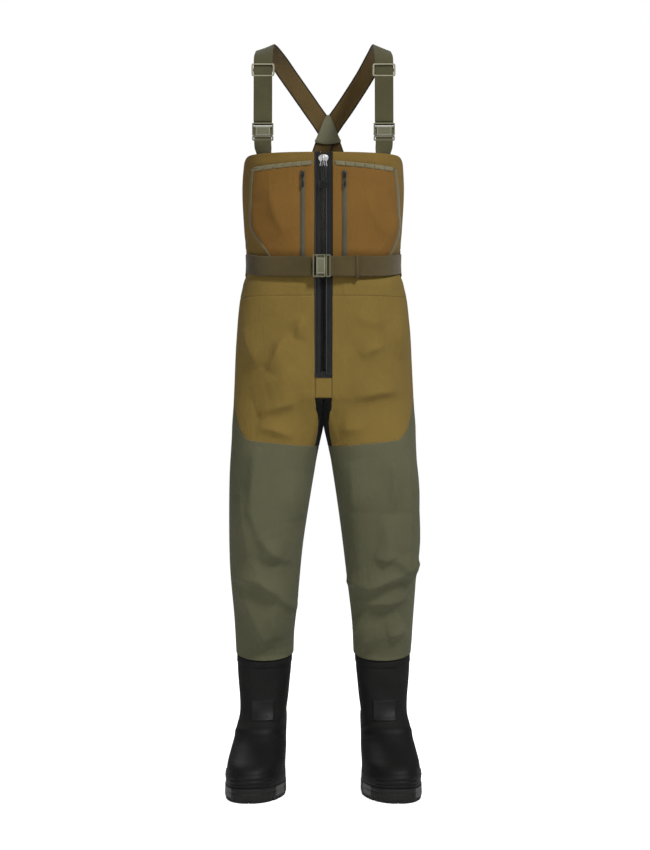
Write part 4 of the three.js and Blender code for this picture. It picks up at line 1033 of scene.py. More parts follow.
def combine(name, parts, body, replaced=(), paints=(), where=None):
    """parts: (mesh, matrix or None, index of its paint)."""
    bm = bmesh.new()
    for mesh, matrix, paint in parts:
        before = len(bm.faces)
        copy = mesh.copy()
        if matrix is not None:
            copy.transform(matrix)
        bm.from_mesh(copy)
        bpy.data.meshes.remove(copy)
        bm.faces.ensure_lookup_table()
        for face in bm.faces[before:]:
            face.material_index = paint
            face.smooth = True
    mesh = bpy.data.meshes.new(name)
    bm.to_mesh(mesh)
    bm.free()
    if where is not None:
        mesh.transform(where)
    for paint in paints:
        mesh.materials.append(paint)
    made = bpy.data.objects.new(name, mesh)
    scene.collection.objects.link(made)
    enrol(made, body, replaced)
    split_edges(made, 44)
    return made

def upright(x, y, z, lean=0.0):
    """Stands a plate up: its x runs across, its y upwards and its face looks forward."""
    stand = Matrix(((1, 0, 0, 0), (0, 0, -1, 0), (0, 1, 0, 0), (0, 0, 0, 1)))
    return (Matrix.Translation(Vector((x, y, z)) * MM) @ Matrix.Rotation(-lean, 4, "X") @ stand)

print("hard part helpers ready")

# %% [markdown]
# ## Main zip
# A waterproof zip is two coated tapes with a row of moulded teeth on each, shut by one slider. The
# coating is ribbed where the teeth are welded through it, which breaks its shine into a fine
# ladder. The tapes are grids with those ribs modelled, and the teeth are single mouldings.

# %% Zip tapes
CHEST_Y = -85.0

def zip_tape(side):
    heights = np.arange(ZIP_FOOT, BIB_TOP + 0.6, 1.1)
    profile = [(4.5, 0.0), (5.4, -0.7), (7.0, -0.85), (9.6, -0.35), (13.2, -0.25), (15.6, -0.75),
               (17.0, -0.55), (17.6, 0.3), (17.2, 1.3), (5.0, 1.3)]
    rung = 0.16 * np.sin(2 * np.pi * heights / 3.3)
    wander = 0.25 * np.sin(heights / 57.0) + 0.18 * np.sin(heights / 23.0 + 1)
    points = np.zeros((len(heights), len(profile), 3))
    for k, (x, y) in enumerate(profile):
        ribbed = rung * (1.0 if 5 < x < 9 else 0.35) * (y < 0)
        points[:, k] = np.stack([side * x + 0 * heights, CHEST_Y + y + ribbed + wander, heights],
                                -1)
    count = len(profile)
    faces = grid_faces(len(heights), count, flip=side < 0, around=True)
    ends = [tuple(range(count)), tuple(range(count * (len(heights) - 1), count * len(heights)))]
    faces += [ends[0] if side < 0 else ends[0][::-1], ends[1][::-1] if side < 0 else ends[1]]
    return points.reshape(-1, 3), faces

for side_name, side in SIDES.items():
    points, faces = zip_tape(side)
    mesh_object(f"zip_coated_tape_{side_name}", points, faces, "garment",
                [f"zip_tape_{side_name}"], "zip_tape", zip_rubber)
print("zip runs from", ZIP_FOOT, "to", BIB_TOP)

# %% Zip teeth
TOOTH_PITCH = 3.2

def zip_teeth(side):
    bm = bmesh.new()
    single = block(0.9, 4.4, -1.05, 2.4, -0.95, 0.95, 0.4, 1)
    head = block(0.15, 1.5, -0.9, 2.2, -0.6, 0.6, 0.3, 1)
    z = ZIP_FOOT + 13.5 + (TOOTH_PITCH / 2 if side > 0 else 0)
    count = 0
    while z < BIB_TOP - 4:
        for part in (single, head):
            copy = part.copy()
            copy.transform(Matrix.Translation((0, CHEST_Y * MM, z * MM)))
            if side < 0:
                copy.transform(Matrix.Scale(-1, 4, (1, 0, 0)))
                copy.flip_normals()
            bm.from_mesh(copy)
            bpy.data.meshes.remove(copy)
        z += TOOTH_PITCH
        count += 1
    mesh = bpy.data.meshes.new("teeth")
    bm.to_mesh(mesh)
    bm.free()
    return mesh, count

for side_name, side in SIDES.items():
    mesh, count = zip_teeth(side)
    combine(f"zip_moulded_teeth_{side_name}", [(mesh, None, 0)], "garment",
            [f"zip_teeth_{side_name}"], [tooth_plastic])
print(count, "teeth a side")

# %% Dock and foot of the zip
dock_parts = [
    (plate([rounded(-4.2, 4.2, 0, 11.4, 2.0)], 4.6, 0.7), upright(0, CHEST_Y + 0.2, ZIP_FOOT), 0),
    (plate([rounded(-ZIP_HALF, ZIP_HALF, -2.5, 6.5, 2.6)], 1.8, 0.5),
     upright(0, CHEST_Y - 0.6, ZIP_FOOT), 0),
]
combine("zip_dock", dock_parts, "garment", ["zip_bottom_dock"], [zip_rubber])

# %% [markdown]
# ### Slider and pull
# The slider is a casting with a broad round head, a narrow waist and two feet, with a raised rib
# and a bail that the pull hangs from. The pull is a doubled strap with a moulded grip, which
# swings on the bail, so it is a body of its own.

# %% Zip slider
def shield(width, height, foot):
    points = []
    for k in range(13):
        a = math.radians(180 - 180 * k / 12)
        points.append((width / 2 * math.cos(a), -6 + 6 * math.sin(a)))
    right = [(width / 2 - 0.3, -8.2), (width / 2 - 1.8, -11), (foot / 2 - 1.2, -13.4),
             (foot / 2 - 1.4, -16.5), (foot / 2, -height + 1), (foot / 2 - 1, -height),
             (2.3, -height), (1.6, -height + 5), (0.9, -height + 7.5)]
    points += right + [(-x, y) for x, y in right[::-1]]
    return points[::-1]

slider_top = BIB_TOP - 6
front_plate, back_plate = CHEST_Y - 4.6, CHEST_Y + 3.0
outline = shield(19.6, 22.6, 15.4)
slider_parts = [
    (plate([outline], 3.0, 0.7, 3), upright(0, front_plate + 1.5, slider_top), 0),
    (plate([outline], 2.0, 0.6), upright(0, back_plate + 1.0, slider_top), 0),
    (block(-0.45, 0.45, front_plate + 1, back_plate + 1, slider_top - 20, slider_top - 5, 0.1, 1),
     None, 0),
    (tube([(0, front_plate + 0.6, slider_top - 3.2), (0, front_plate - 3.0, slider_top - 4.2),
           (0, front_plate - 3.8, slider_top - 6.5), (0, front_plate - 3.8, slider_top - 12),
           (0, front_plate - 3.0, slider_top - 14.5), (0, front_plate + 0.6, slider_top - 15.2)],
          0.85), None, 0),
    (tube([(-7.4, front_plate + 0.3, slider_top - 6), (-6.2, front_plate - 0.1, slider_top - 3.2),
           (0, front_plate - 0.3, slider_top - 1.6), (6.2, front_plate - 0.1, slider_top - 3.2),
           (7.4, front_plate + 0.3, slider_top - 6)], 0.7), None, 0),
]
combine("main_slider_casting", slider_parts, "main_slider", ["zip_slider"],
        [cast_metal])

# %% Zip pull
pull_y, pull_z = -91.65, 1248.35

def strand(side):
    x = side * 4.1
    return [(0, pull_y, pull_z + 0.1), (side * 1.8, pull_y, pull_z + 0.1),
            (x, pull_y, pull_z - 2.2), (x, pull_y - 0.3, pull_z - 16),
            (x - side * 0.6, pull_y, pull_z - 30), (x - side * 0.9, pull_y, pull_z - 41)]

combine("main_pull_strap", [(tube(strand(s), 1.25), None, 0) for s in (-1, 1)]
        + [(tube([(-1.9, pull_y, pull_z + 0.1), (1.9, pull_y, pull_z + 0.1)], 0.6), None, 0)],
        "main_pull", ["zip_pull_strap"], [zip_rubber])
grip_parts = [(plate([rounded(-8.5, 8.5, -13, 0, 2.4)], 4.0, 1.0, 3), None, 0)]
grip_parts += [(block(-5.8, 5.8, y, y + 1.1, 1.7, 2.3, 0.25, 1), None, 1)
               for y in (-10.6, -7.8, -5.0, -2.9)]
combine("main_pull_grip", grip_parts, "main_pull", ["zip_pull_grip"],
        [tooth_plastic, zip_rubber], upright(0, pull_y, pull_z - 39))

# %% [markdown]
# ## Chest pockets
# Each pocket is a second layer of cloth over the bib, in a warmer brown, with a slight swell. Its
# outer edge runs down the chest and cuts in towards the belt, and a welded tape covers that edge.
# The coil zip and the loop tape above lie on the same skin, so they follow its curve.

# %% Points on the chest
def on_chest(x, z, side, lift):
    """Points of the hung chest at distances x from the middle, standing lift in front of it."""
    base = skin(angle_at(x, z), z)
    base[..., 0] *= side
    step = skin(angle_at(x + 0.6, z), z)
    step[..., 0] *= side
    along = step - base
    normal = np.stack([side * -along[..., 1], side * along[..., 0], 0 * along[..., 2]], -1)
    normal /= np.linalg.norm(normal, axis=-1, keepdims=True)
    normal *= np.where(normal[..., 1:2] > 0, -1, 1)
    return base + normal * (hang(base, normal) + lift)[..., None]

POCKET_EDGE = {"right": [(1050, 100), (1070, 109), (1088, 121), (1105, 132), (1123, 140),
                         (1160, 143), (1201, 143), (1236, 139)],
               "left": [(1050, 128), (1066, 132), (1088, 139), (1105, 144), (1123, 147),
                        (1160, 147), (1201, 145), (1236, 141)]}

def pocket_edge(side_name, z):
    heights, reach = zip(*POCKET_EDGE[side_name])
    return np.interp(z, heights, reach)

def closed_band(front, back, flip):
    """A band with a front and a back grid, joined round its rim into one closed mesh."""
    rows, columns = front.shape[:2]
    points = np.concatenate([front.reshape(-1, 3), back.reshape(-1, 3)])
    faces = grid_faces(rows, columns, 0, flip) + grid_faces(rows, columns, rows * columns, not flip)
    rim = ([(0, c) for c in range(columns)] + [(r, columns - 1) for r in range(1, rows)]
           + [(rows - 1, c) for c in range(columns - 2, -1, -1)]
           + [(r, 0) for r in range(rows - 2, 0, -1)])
    index = [r * columns + c for r, c in rim]
    for a, b in zip(index, index[1:] + index[:1]):
        quad = (a, b, b + rows * columns, a + rows * columns)
        faces.append(quad if flip else quad[::-1])
    return points, faces

def band(name, front, back, flip, replaced, slot, paint):
    points, faces = closed_band(front, back, flip)
    mesh_object(name, points, faces, "garment", replaced, slot, paint)
    print(name, len(points), "points")

# %% Pocket panels
POCKET_FOOT, POCKET_TOP, POCKET_ZIP_X = 1054, 1242, 41

def pocket_points(side_name, side):
    level, share = crowded(44)[:, None], crowded(34)[None, :]
    z = POCKET_FOOT + (POCKET_TOP - POCKET_FOOT) * level + 0 * share
    x = 18.4 + (pocket_edge(side_name, z) - 18.4) * share
    z = z - 0.075 * (x - 20) * level
    swell = 2.2 * np.sin(np.pi * share) * np.sin(np.pi * np.clip(level, 0, 1)) ** 0.6
    beside_zip = 1.2 * near(x, POCKET_ZIP_X, 7)
    edge_in = SEAM_IN * (np.exp(-share * 60) + np.exp(-(1 - share) * 60)
                         + np.exp(-(1 - level) * 60))
    front = on_chest(x, z, side, 1.7 + swell - beside_zip - edge_in)
    back = on_chest(x, z, side, 0.5)
    return front, back

for side_name, side in SIDES.items():
    front, back = pocket_points(side_name, side)
    band(f"pocket_cloth_{side_name}", front, back, side > 0, [f"pocket_panel_{side_name}"],
         "bib_fabric", pocket_cloth)

# %% Edge tape of the pockets
def edge_tape(side_name, side):
    level, share = np.linspace(0, 1, 40)[:, None], np.linspace(-0.5, 0.5, 5)[None, :]
    z = POCKET_FOOT + (1238 - POCKET_FOOT) * level + 0 * share
    x = pocket_edge(side_name, z) + 5.5 * share + 0.6
    crown = 0.5 * (1 - (2 * share) ** 2)
    return (on_chest(x, z, side, 2.0 + crown), on_chest(x, z, side, 0.9 + 0 * crown))

for side_name, side in SIDES.items():
    front, back = edge_tape(side_name, side)
    band(f"pocket_edge_tape_{side_name}", front, back, side > 0, (), "trim_tape", edge_tape_paint)

# %% Coil zips
def coil_zip(side):
    rows = np.arange(1058.0, 1230.0, 0.75)
    across = np.array([-0.5, -0.42, -0.2, -0.16, -0.06, 0, 0.06, 0.16, 0.2, 0.42, 0.5])
    rise = np.array([0.0, 0.35, 0.4, 1.3, 1.5, 0.9, 1.5, 1.3, 0.4, 0.35, 0.0])
    z, share = rows[:, None] + 0 * across[None, :], across[None, :]
    coil = 0.22 * np.sin(2 * np.pi * z / 2.2) * (np.abs(share) < 0.19)
    lift = 3.0 + rise[None, :] + coil
    x = POCKET_ZIP_X + 9.0 * share + 0 * z
    return on_chest(x, z, side, lift), on_chest(x, z, side, 2.2 + 0 * lift)

for side_name, side in SIDES.items():
    front, back = coil_zip(side)
    band(f"pocket_coil_{side_name}", front, back, side > 0, [f"pocket_zip_{side_name}"],
         "pocket_zip", coil_tape)

# %% Pocket sliders and pulls
for side_name, side in SIDES.items():
    low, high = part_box(f"pocket_slider_{side_name}")
    x, front_y, top = 500 * (low[0] + high[0]), 1000 * low[1], 1000 * high[2]
    cap = [(-2.2, 0), (-3.2, -2), (-2.9, -6.5), (-2.2, -11), (2.2, -11), (2.9, -6.5), (3.2, -2),
           (2.2, 0)]
    cheeks = [(block(x + a, x + a + 1, front_y + 3.6, front_y + 6.2, top - 10, top - 2, 0.2, 1),
               None, 0) for a in (-3.0, 2.0)]
    parts = [(plate([cap], 2.0, 0.5), upright(x, front_y + 3.8, top), 0), *cheeks,
             (tube([(x, front_y + 2.9, top - 2.2), (x, front_y + 0.5, top - 3.0),
                    (x, front_y + 0.5, top - 7.2), (x, front_y + 2.9, top - 8.2)], 0.55), None, 0)]
    combine(f"pocket_slider_casting_{side_name}", parts, f"pocket_slider_{side_name}",
            [f"pocket_slider_{side_name}"], [dark_metal])
    low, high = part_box(f"pocket_pull_{side_name}")
    y, top, foot = 500 * (low[1] + high[1]), 1000 * high[2], 1000 * low[2]
    right = [(x + 1.7, y, top - 1.0), (x + 1.9, y, top - 6), (x + 1.2, y, foot + 12)]
    left = [(x - 1.2, y, foot + 12), (x - 1.9, y, top - 6), (x - 1.7, y, top - 1.0)]
    loop = [(x, y, top - 0.4), *right, (x, y, foot + 11), *left]
    parts = [(tube(loop, 0.5, closed=True), None, 0),
             (plate([rounded(-2.5, 2.5, 0, 13, 2.2)], 1.4, 0.4), upright(x, y, foot), 1)]
    combine(f"pocket_pull_cord_{side_name}", parts, f"pocket_pull_{side_name}",
            [f"pocket_pull_{side_name}"], [tooth_plastic, dark_metal])

# %% [markdown]
# ### Loop tape
# A narrow tape crosses the chest above each pocket. It is tacked down every two centimetres and
# stands a little proud in between, so that tools clip onto it. Each tack is a short raised bar.

# %% Loop tape across the chest
TAPE_FIRST, TAPE_LAST, TACK_PITCH = 22.0, 137.0, 19.0

def tape_height(x):
    return 1245.5 - (x - 20) * 0.075

def loop_tape(side):
    x = np.linspace(TAPE_FIRST, TAPE_LAST, 140)[None, :]
    share = np.linspace(-0.5, 0.5, 5)[:, None]
    z = tape_height(x) + 8.6 * share
    arch = 1.5 * np.abs(np.sin(np.pi * (x - TAPE_FIRST) / TACK_PITCH)) ** 0.7
    front = on_chest(x + 0 * z, z, side, 1.2 + arch + 0.2 * (1 - 4 * share**2))
    back = on_chest(x + 0 * z, z, side, 0.2 + 0.8 * arch)
    return front, back

def tacks(side):
    parts = []
    x = TAPE_FIRST + 2.0
    while x < TAPE_LAST:
        z = np.array([tape_height(x)])
        at, beside = (on_chest(np.array([v]), z, side, 1.7)[0] for v in (x, x + 1.0))
        turn = math.atan2(beside[1] - at[1], beside[0] - at[0])
        if side < 0:
            turn += math.pi
        parts.append((block(-0.8, 0.8, -0.5, 0.6, -3.4, 3.4, 0.3, 1),
                      Matrix.Translation(Vector(at) * MM) @ Matrix.Rotation(turn, 4, "Z"), 0))
        x += TACK_PITCH
    return parts

for side_name, side in SIDES.items():
    front, back = loop_tape(side)
    band(f"loop_tape_{side_name}", front, back, side < 0, [f"chest_loop_tape_{side_name}"],
         "trim_tape", tape_olive)
    bars = tacks(side)
    combine(f"loop_tacks_{side_name}", bars, "garment", (), [coil_tape])
print(len(bars), "tacks a side")

# %% [markdown]
# ## Belt
# The belt is a ribbed webbing 40 mm wide that stands clear of the chest, so that the zip slider
# passes behind it, and hugs the sides and the back. It rides a little higher at the sides than at
# the buckle. It is swept along the torso's own section, as flat webbing is drawn directly.

# %% Ribbons
def ribbon_mesh(line, across, out, width, thickness):
    """A flat strap along points, with the way its width runs and its outer side at each point.
    Returns points, faces and a paint index for each face: 0 outer, 1 inner, 2 inner edge."""
    line, across, out = (np.asarray(v, float) for v in (line, across, out))
    across = across / np.linalg.norm(across, axis=-1, keepdims=True)
    out = out / np.linalg.norm(out, axis=-1, keepdims=True)
    share = np.array([-0.5, -0.485, -0.42, -0.2, 0, 0.2, 0.42, 0.485, 0.5])
    lift = np.array([0.12, 0.42, 0.5, 0.5, 0.5, 0.5, 0.5, 0.42, 0.12])
    ring = [(s, f) for s, f in zip(share, lift)] + [(s, -f) for s, f in zip(share, lift)][::-1]
    count = len(ring)
    points = np.stack([line + across * (s * width) + out * (f * thickness) for s, f in ring], 1)
    faces, paint = [], []
    for r in range(len(line) - 1):
        for c in range(count):
            n = (c + 1) % count
            faces.append((r * count + c, r * count + n, (r + 1) * count + n, (r + 1) * count + c))
            inner = 9 <= c < 17
            edge = inner and c in (9, 10, 15, 16)
            paint.append(2 if edge or c in (8, 17) else 1 if inner else 0)
    last = count * (len(line) - 1)
    faces += [tuple(range(count))[::-1], tuple(range(last, last + count))]
    return points.reshape(-1, 3), faces, paint + [2, 2]

def ribbon(name, line, across, out, width, thickness, body, replaced, paints):
    points, faces, paint = ribbon_mesh(line, across, out, width, thickness)
    made = mesh_object(name, points, faces, None)
    mend(made.data)
    for p in paints:
        made.data.materials.append(p)
    if len(paints) == 3:
        made.data.polygons.foreach_set("material_index", paint)
    split_edges(made, 60)
    return enrol(made, body, replaced)

# %% Belt line
BUCKLE_X, BUCKLE_Y = 4, -99.7       # the joint of the belt's buckle
STAND, LAP_STAND = 10.3, 14.5       # the band, and the strap that laps over it
UP = [0.0, 0.0, 1.0]

def belt_point(turn, stand):
    """A point of the belt's middle line: turn runs from the front (-90) round to the back (90)."""
    s = read(TORSO, BELT)
    c, n = np.cos(turn), np.sin(turn)
    front, back = s[2] + 0.6 + stand, s[3] + 1.7
    x = (s[1] + 1.7) * power(c)
    y = SIDE_Y + np.where(n < 0, front, back) * power(n)
    rise = 12.0 * smooth(y, CHEST_Y - 12, SIDE_Y - 14)
    return np.stack([x, y, BELT + rise - 0.5], -1)

def facing_out(step, at):
    """Level directions square to each step, pointing away from the torso's middle."""
    out = np.stack([step[:, 1], -step[:, 0], 0 * step[:, 0]], -1)
    centre = at - np.array([0, SIDE_Y, 0])
    return out * np.where(np.sum(out[:, :2] * centre[:, :2], -1) < 0, -1, 1)[:, None]

def belt_run(turn, stand):
    """The belt's middle line over these turns, with the way its width runs and its outer side."""
    line = belt_point(turn, stand)
    return line, np.tile(UP, (len(line), 1)), facing_out(np.gradient(line, axis=0), line)

def turn_at(x):
    half = float(read(TORSO, BELT)[1]) + 1.7
    return math.acos(np.sign(x) * (abs(x) / half) ** (ROUNDNESS / 2))

start, end = -turn_at(-29.0), -turn_at(50.0)
line, up, out = belt_run(np.linspace(start, end - 2 * math.pi, 240), STAND)
line[:, 2] += 0.5 * np.sin(np.linspace(0, 9 * math.pi, 240))
bar_x = BUCKLE_X - 25 + 1.3
lead = np.array([[bar_x - 3.5, -97.0, BELT - 0.5], [bar_x - 6.5, -96.2, BELT - 0.5]])
line = np.concatenate([lead, line])
out = np.concatenate([np.tile([0.0, -1.0, 0.0], (2, 1)), out])
up = np.concatenate([up[:2], up])
ribbon("belt_band", line, up, out, 39.6, 2.2, "garment", ["belt_webbing"],
       [belt_webbing_paint])
print("belt band is", round(float(np.linalg.norm(np.diff(line, axis=0), axis=1).sum())), "mm long")

# %% Belt front strap, its turned end and the keeper
def flat_front(x0, x1, stand, steps=24):
    x = np.linspace(x0, x1, steps)
    turn = np.array([-turn_at(v) for v in x])
    line = belt_point(turn, stand)
    step = np.gradient(line, axis=0)
    out = np.stack([step[:, 1], -step[:, 0], 0 * step[:, 0]], -1)
    return line, np.tile([0.0, 0.0, 1.0], (steps, 1)), out

line, up, out = flat_front(17.5, 71.5, LAP_STAND)
bar_x, bar_y = 12.7, BUCKLE_Y
wrap = [(bar_x + 4.5, bar_y - 0.5), (bar_x + 2.0, bar_y - 2.3), (bar_x - 0.4, bar_y - 2.6),
        (bar_x - 2.4, bar_y - 0.9)]
turned = np.array([[x, y, BELT - 0.5] for x, y in wrap[::-1]])
turn_out = np.array([[0.0, -1, 0], [0.0, -1, 0], [-0.6, -0.8, 0], [-1.0, -0.1, 0]])[::-1]
line = np.concatenate([turned, line])
out = np.concatenate([turn_out, out])
up = np.tile([0.0, 0.0, 1.0], (len(line), 1))
ribbon("belt_tail", line, up, out, 39.4, 2.0, "belt_clip", ["belt_front_strap"],
       [belt_webbing_paint])

def keeper_ring():
    x = 66.0
    turn = -turn_at(x)
    centre = belt_point(np.array([turn]), LAP_STAND)[0]
    beside = belt_point(np.array([-turn_at(x + 1)]), LAP_STAND)[0]
    along = (beside - centre) / np.linalg.norm(beside - centre)
    out = np.array([along[1], -along[0], 0])
    ring = [(-21.6, -2.0), (-21.6, 1.6), (-20.5, 2.7), (0, 2.9), (20.5, 2.7), (21.6, 1.6),
            (21.6, -2.0), (20.5, -2.6), (0, -2.8), (-20.5, -2.6)]
    line = [centre + out * o + np.array([0, 0, z]) for z, o in ring]
    line.append(line[0])
    outs = [np.array([0, 0, np.sign(z)]) * (abs(z) > 21) + out * np.sign(o) * (abs(z) < 21)
            for z, o in ring]
    outs.append(outs[0])
    return np.array(line), np.tile(along, (len(line), 1)), np.array(outs)

line, along, out = keeper_ring()
ribbon("belt_keeper_loop", line, along, out, 6.0, 1.0, "belt_clip", ["belt_keeper"],
       [belt_webbing_paint])

# %% Belt loops
def sewn_loop(name, angle, side, node):
    """A strip of cloth sewn above and below the belt, arching over it."""
    z = np.array([-29, -27.5, -25, -22.5, -21, -14, 0, 14, 21, 22.5, 25, 27.5, 29.0])
    stand = np.array([0.9, 1.0, 1.3, 2.6, 3.9, 4.2, 4.3, 4.2, 3.9, 2.6, 1.3, 1.0, 0.9])
    heights = BELT + 11.0 + z
    turn = angle_at(1.5, heights, back=True) if angle is None else np.full(z.shape, angle)
    base = skin(turn, heights)
    base[:, 0] *= side
    beside = skin(turn - 0.02, heights)
    beside[:, 0] *= side
    along = beside - base
    along[:, 2] = 0
    along /= np.linalg.norm(along, axis=1, keepdims=True)
    out = np.stack([along[:, 1], -along[:, 0], 0 * along[:, 0]], -1)
    middle = base - np.array([0, SIDE_Y, 0])
    out *= np.where(np.sum(out[:, :2] * middle[:, :2], -1) < 0, -1, 1)[:, None]
    line = base + out * (stand + hang(base, out) * smooth(np.abs(z), 20, 26))[:, None]
    ribbon(name, line, along, out, 16, 1.4, "garment", [node], [bib_cloth])

for side_name, side in SIDES.items():
    sewn_loop(f"belt_loop_strip_{side_name}", math.radians(21), side, f"belt_loop_{side_name}")
sewn_loop("belt_loop_strip_back", None, 1, "belt_loop_back")

# %% [markdown]
# ## Side-release buckles
# The female half is a hollow moulding: a face plate with side windows, a back plate and two rails.
# The male half has a base with a webbing slot and two sprung arms, which show in the windows. The
# raised centre plate has a rim that is paler than the rest.

# %% Buckle halves
def buckle_parts(half, face_reach):
    female = [
        (plate([rounded(-half, half, 0, 25, 3.2), rounded(-half + 2.6, half - 2.6, 18.4, 22.4, 1.2),
                rounded(-half + 2.4, -half + 6.4, 3.2, 15.6, 1.6),
                rounded(half - 6.4, half - 2.4, 3.2, 15.6, 1.6)], 2.0, 0.6),
         Matrix.Translation((0, 0, 3.5 * MM)), 0),
        (plate([rounded(-half, half, 0, 25, 3.2), rounded(-half + 2.6, half - 2.6, 18.4, 22.4, 1.2)],
               2.0, 0.6), Matrix.Translation((0, 0, -3.5 * MM)), 0),
        (plate([rounded(-half + 7.0, half - 7.0, 1.2, 17.4, 2.0),
                rounded(-half + 8.4, half - 8.4, 2.6, 16.0, 1.4)], 1.4, 0.45),
         Matrix.Translation((0, 0, (4.5 + face_reach) * MM)), 1),
        (plate([rounded(-half + 8.0, half - 8.0, 2.2, 16.4, 1.4)], 1.0, 0.3),
         Matrix.Translation((0, 0, 4.6 * MM)), 0),
        (block(-half, -half + 1.8, 0.4, 24.6, -4, 4, 0.7), None, 0),
        (block(half - 1.8, half, 0.4, 24.6, -4, 4, 0.7), None, 0),
        (block(-half + 1, half - 1, 22.4, 25.0, -1.5, 1.5, 0.6), None, 1),
    ]
    male = [
        (plate([rounded(-half, half, -10, -0.4, 2.2), rounded(-half + 2.6, half - 2.6, -7.4, -3.4, 1.2)],
               7.4, 1.0, 3), None, 0),
        (block(-half + 1, half - 1, -10, -7.4, -1.5, 1.5, 0.6), None, 1),
    ]
    for s in (-1, 1):
        arm = [(s * (half - 5.8), -1), (s * (half - 2.9), -1), (s * (half - 2.6), 6.5),
               (s * (half - 2.1), 7.5), (s * (half - 2.1), 12.4), (s * (half - 3.6), 15.2),
               (s * (half - 5.4), 17.0), (s * (half - 6.0), 15.0)]
        male.append((plate([arm if s > 0 else arm[::-1]], 4.2, 0.6), None, 0))
    return female, male

for side_name, side in SIDES.items():
    stand = upright(side * 120, -54.8 + 36 * 0.1, 1303, lean=-math.atan(0.1))
    female, male = buckle_parts(20.9, 0.3)
    combine(f"strap_clasp_{side_name}", female, "suspenders", [f"strap_buckle_female_{side_name}"],
            [buckle_plastic, buckle_rim], stand)
    combine(f"strap_prongs_{side_name}", male, "garment", [f"strap_buckle_male_{side_name}"],
            [buckle_plastic, buckle_rim], stand)

sideways = Matrix(((0, -1, 0, BUCKLE_X * MM), (0, 0, -1, BUCKLE_Y * MM), (1, 0, 0, BELT * MM), (0, 0, 0, 1)))
female, male = buckle_parts(22.2, 0.3)
combine("belt_clasp", female, "garment", ["belt_buckle_female"],
        [buckle_plastic, buckle_rim], sideways)
combine("belt_prongs", male, "belt_clip", ["belt_buckle_male"],
        [buckle_plastic, buckle_rim], sideways)
print("three buckles")

# %% [markdown]
# ## Suspenders
# Each suspender is one strap: it turns round the bar of its buckle, runs up to the adjuster,
# over the shoulder, and down the back to the yoke, where the two cross. Its outer face is olive
# webbing and its inner face, which shows behind the shoulders, is brown with dark edges. Both
# fold at the top of the back.

# %% Strap line
LEAN = 0.1

def strap_y(z):
    return -54.8 + (z - 1267) * LEAN

def strap_line(side):
    layer = 6.2 if side < 0 else 2.6
    behind = 132 + layer

    def cross_x(z):
        return 9 + side * (z - 1334) * (0.34 if z < 1338 else 0.68)

    forward = (0, -1, LEAN)
    flat = (1, 0, 0)
    stations = [((side * 120, strap_y(z), z), flat, forward) for z in (1332, 1372, 1412, 1451)]
    stations += [
        ((side * 119, -26, 1469), (1, 0.05, -0.2 * side), (0.15 * side, -0.8, 0.55)),
        ((side * 115, 12, 1487), (1, 0.1, -0.42 * side), (0.4 * side, -0.05, 0.95)),
        ((side * 99 + 4, 66, 1474), (0.92, 0.1 * side, -0.5 * side), (0.32 * side, 0.72, 0.62)),
        ((side * 76 + 7, 108, 1443), (0.86, 0.05 * side, -0.55 * side), (0.16 * side, 0.95, 0.3)),
        ((cross_x(1390), behind - 2, 1390), (0.88, 0, -0.48 * side), (0, 1, 0.06)),
        ((cross_x(1338), behind, 1338), (0.88, 0, -0.48 * side), (0, 1, 0)),
        ((cross_x(1310), behind, 1310), (0.92, 0, -0.36 * side), (0, 1, 0)),
        ((cross_x(1283), 136.6 - 0.8 * side, 1283), (0.95, 0, -0.25 * side), (0, 1, 0)),
        ((cross_x(1262), 135.8 - 0.4 * side, 1262), (0.97, 0, -0.2 * side), (0, 1, 0)),
        ((cross_x(1240), 135.6 - 0.4 * side, 1240), (0.97, 0, -0.2 * side), (0, 1, 0)),
    ]
    at = np.array([s[0] for s in stations], float)
    run = np.concatenate([[0], np.cumsum(np.linalg.norm(np.diff(at, axis=0), axis=1))])
    wanted = np.linspace(0, run[-1], 110)
    path = read(np.column_stack([run, at]), wanted)[:, 1:]
    across = read(np.column_stack([run, [s[1] for s in stations]]), wanted)[:, 1:]
    out = read(np.column_stack([run, [s[2] for s in stations]]), wanted)[:, 1:]
    step = np.gradient(path, axis=0)
    step /= np.linalg.norm(step, axis=1, keepdims=True)
    across -= step * np.sum(across * step, 1, keepdims=True)
    out = np.cross(step, across) * np.sign(np.sum(np.cross(step, across) * out, 1, keepdims=True))
    return path, across, out

def bar_turn(side):
    """The strap's way round the buckle's upper bar and up behind itself, through the adjuster."""
    def at(z, back):
        return (side * 120, strap_y(z) + back, z)
    points = [at(1446, 2.8), at(1420, 2.8), at(1380, 2.7), at(1345, 2.7),
              at(1334, 2.9), at(1328, 2.6), at(1324.2, 1.2), at(1323.9, -0.6), at(1326.4, -2.2),
              at(1330, -1.4)]
    outs = [(0, -1, 0.1), (0, -1, 0.1), (0, -1, 0.1), (0, -1, 0.1), (0, -1, 0.1), (0, -1, 0.35),
            (0, -0.3, 1.0), (0, 0.4, 1.0), (0, 1, 0.2), (0, 1, -0.3)]
    return (np.array(points), np.tile([1.0, 0, 0], (len(points), 1)), -np.array(outs, float))

strap_length = {}
for side_name, side in SIDES.items():
    path, across, out = strap_line(side)
    made = ribbon(f"suspender_webbing_{side_name}", path, across, out, 37, 2.1, None, (),
                  [strap_webbing, strap_lining, strap_edge])
    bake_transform(made)
    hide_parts(f"suspender_strap_{side_name}")
    points, widths, outs = bar_turn(side)
    ribbon(f"suspender_return_{side_name}", points, widths, outs, 36.4, 1.6, "suspenders", (),
           [strap_webbing])
    strap_length[side_name] = float(np.linalg.norm(np.diff(path, axis=0), axis=1).sum())
print("straps, mm:", {k: round(v) for k, v in strap_length.items()})

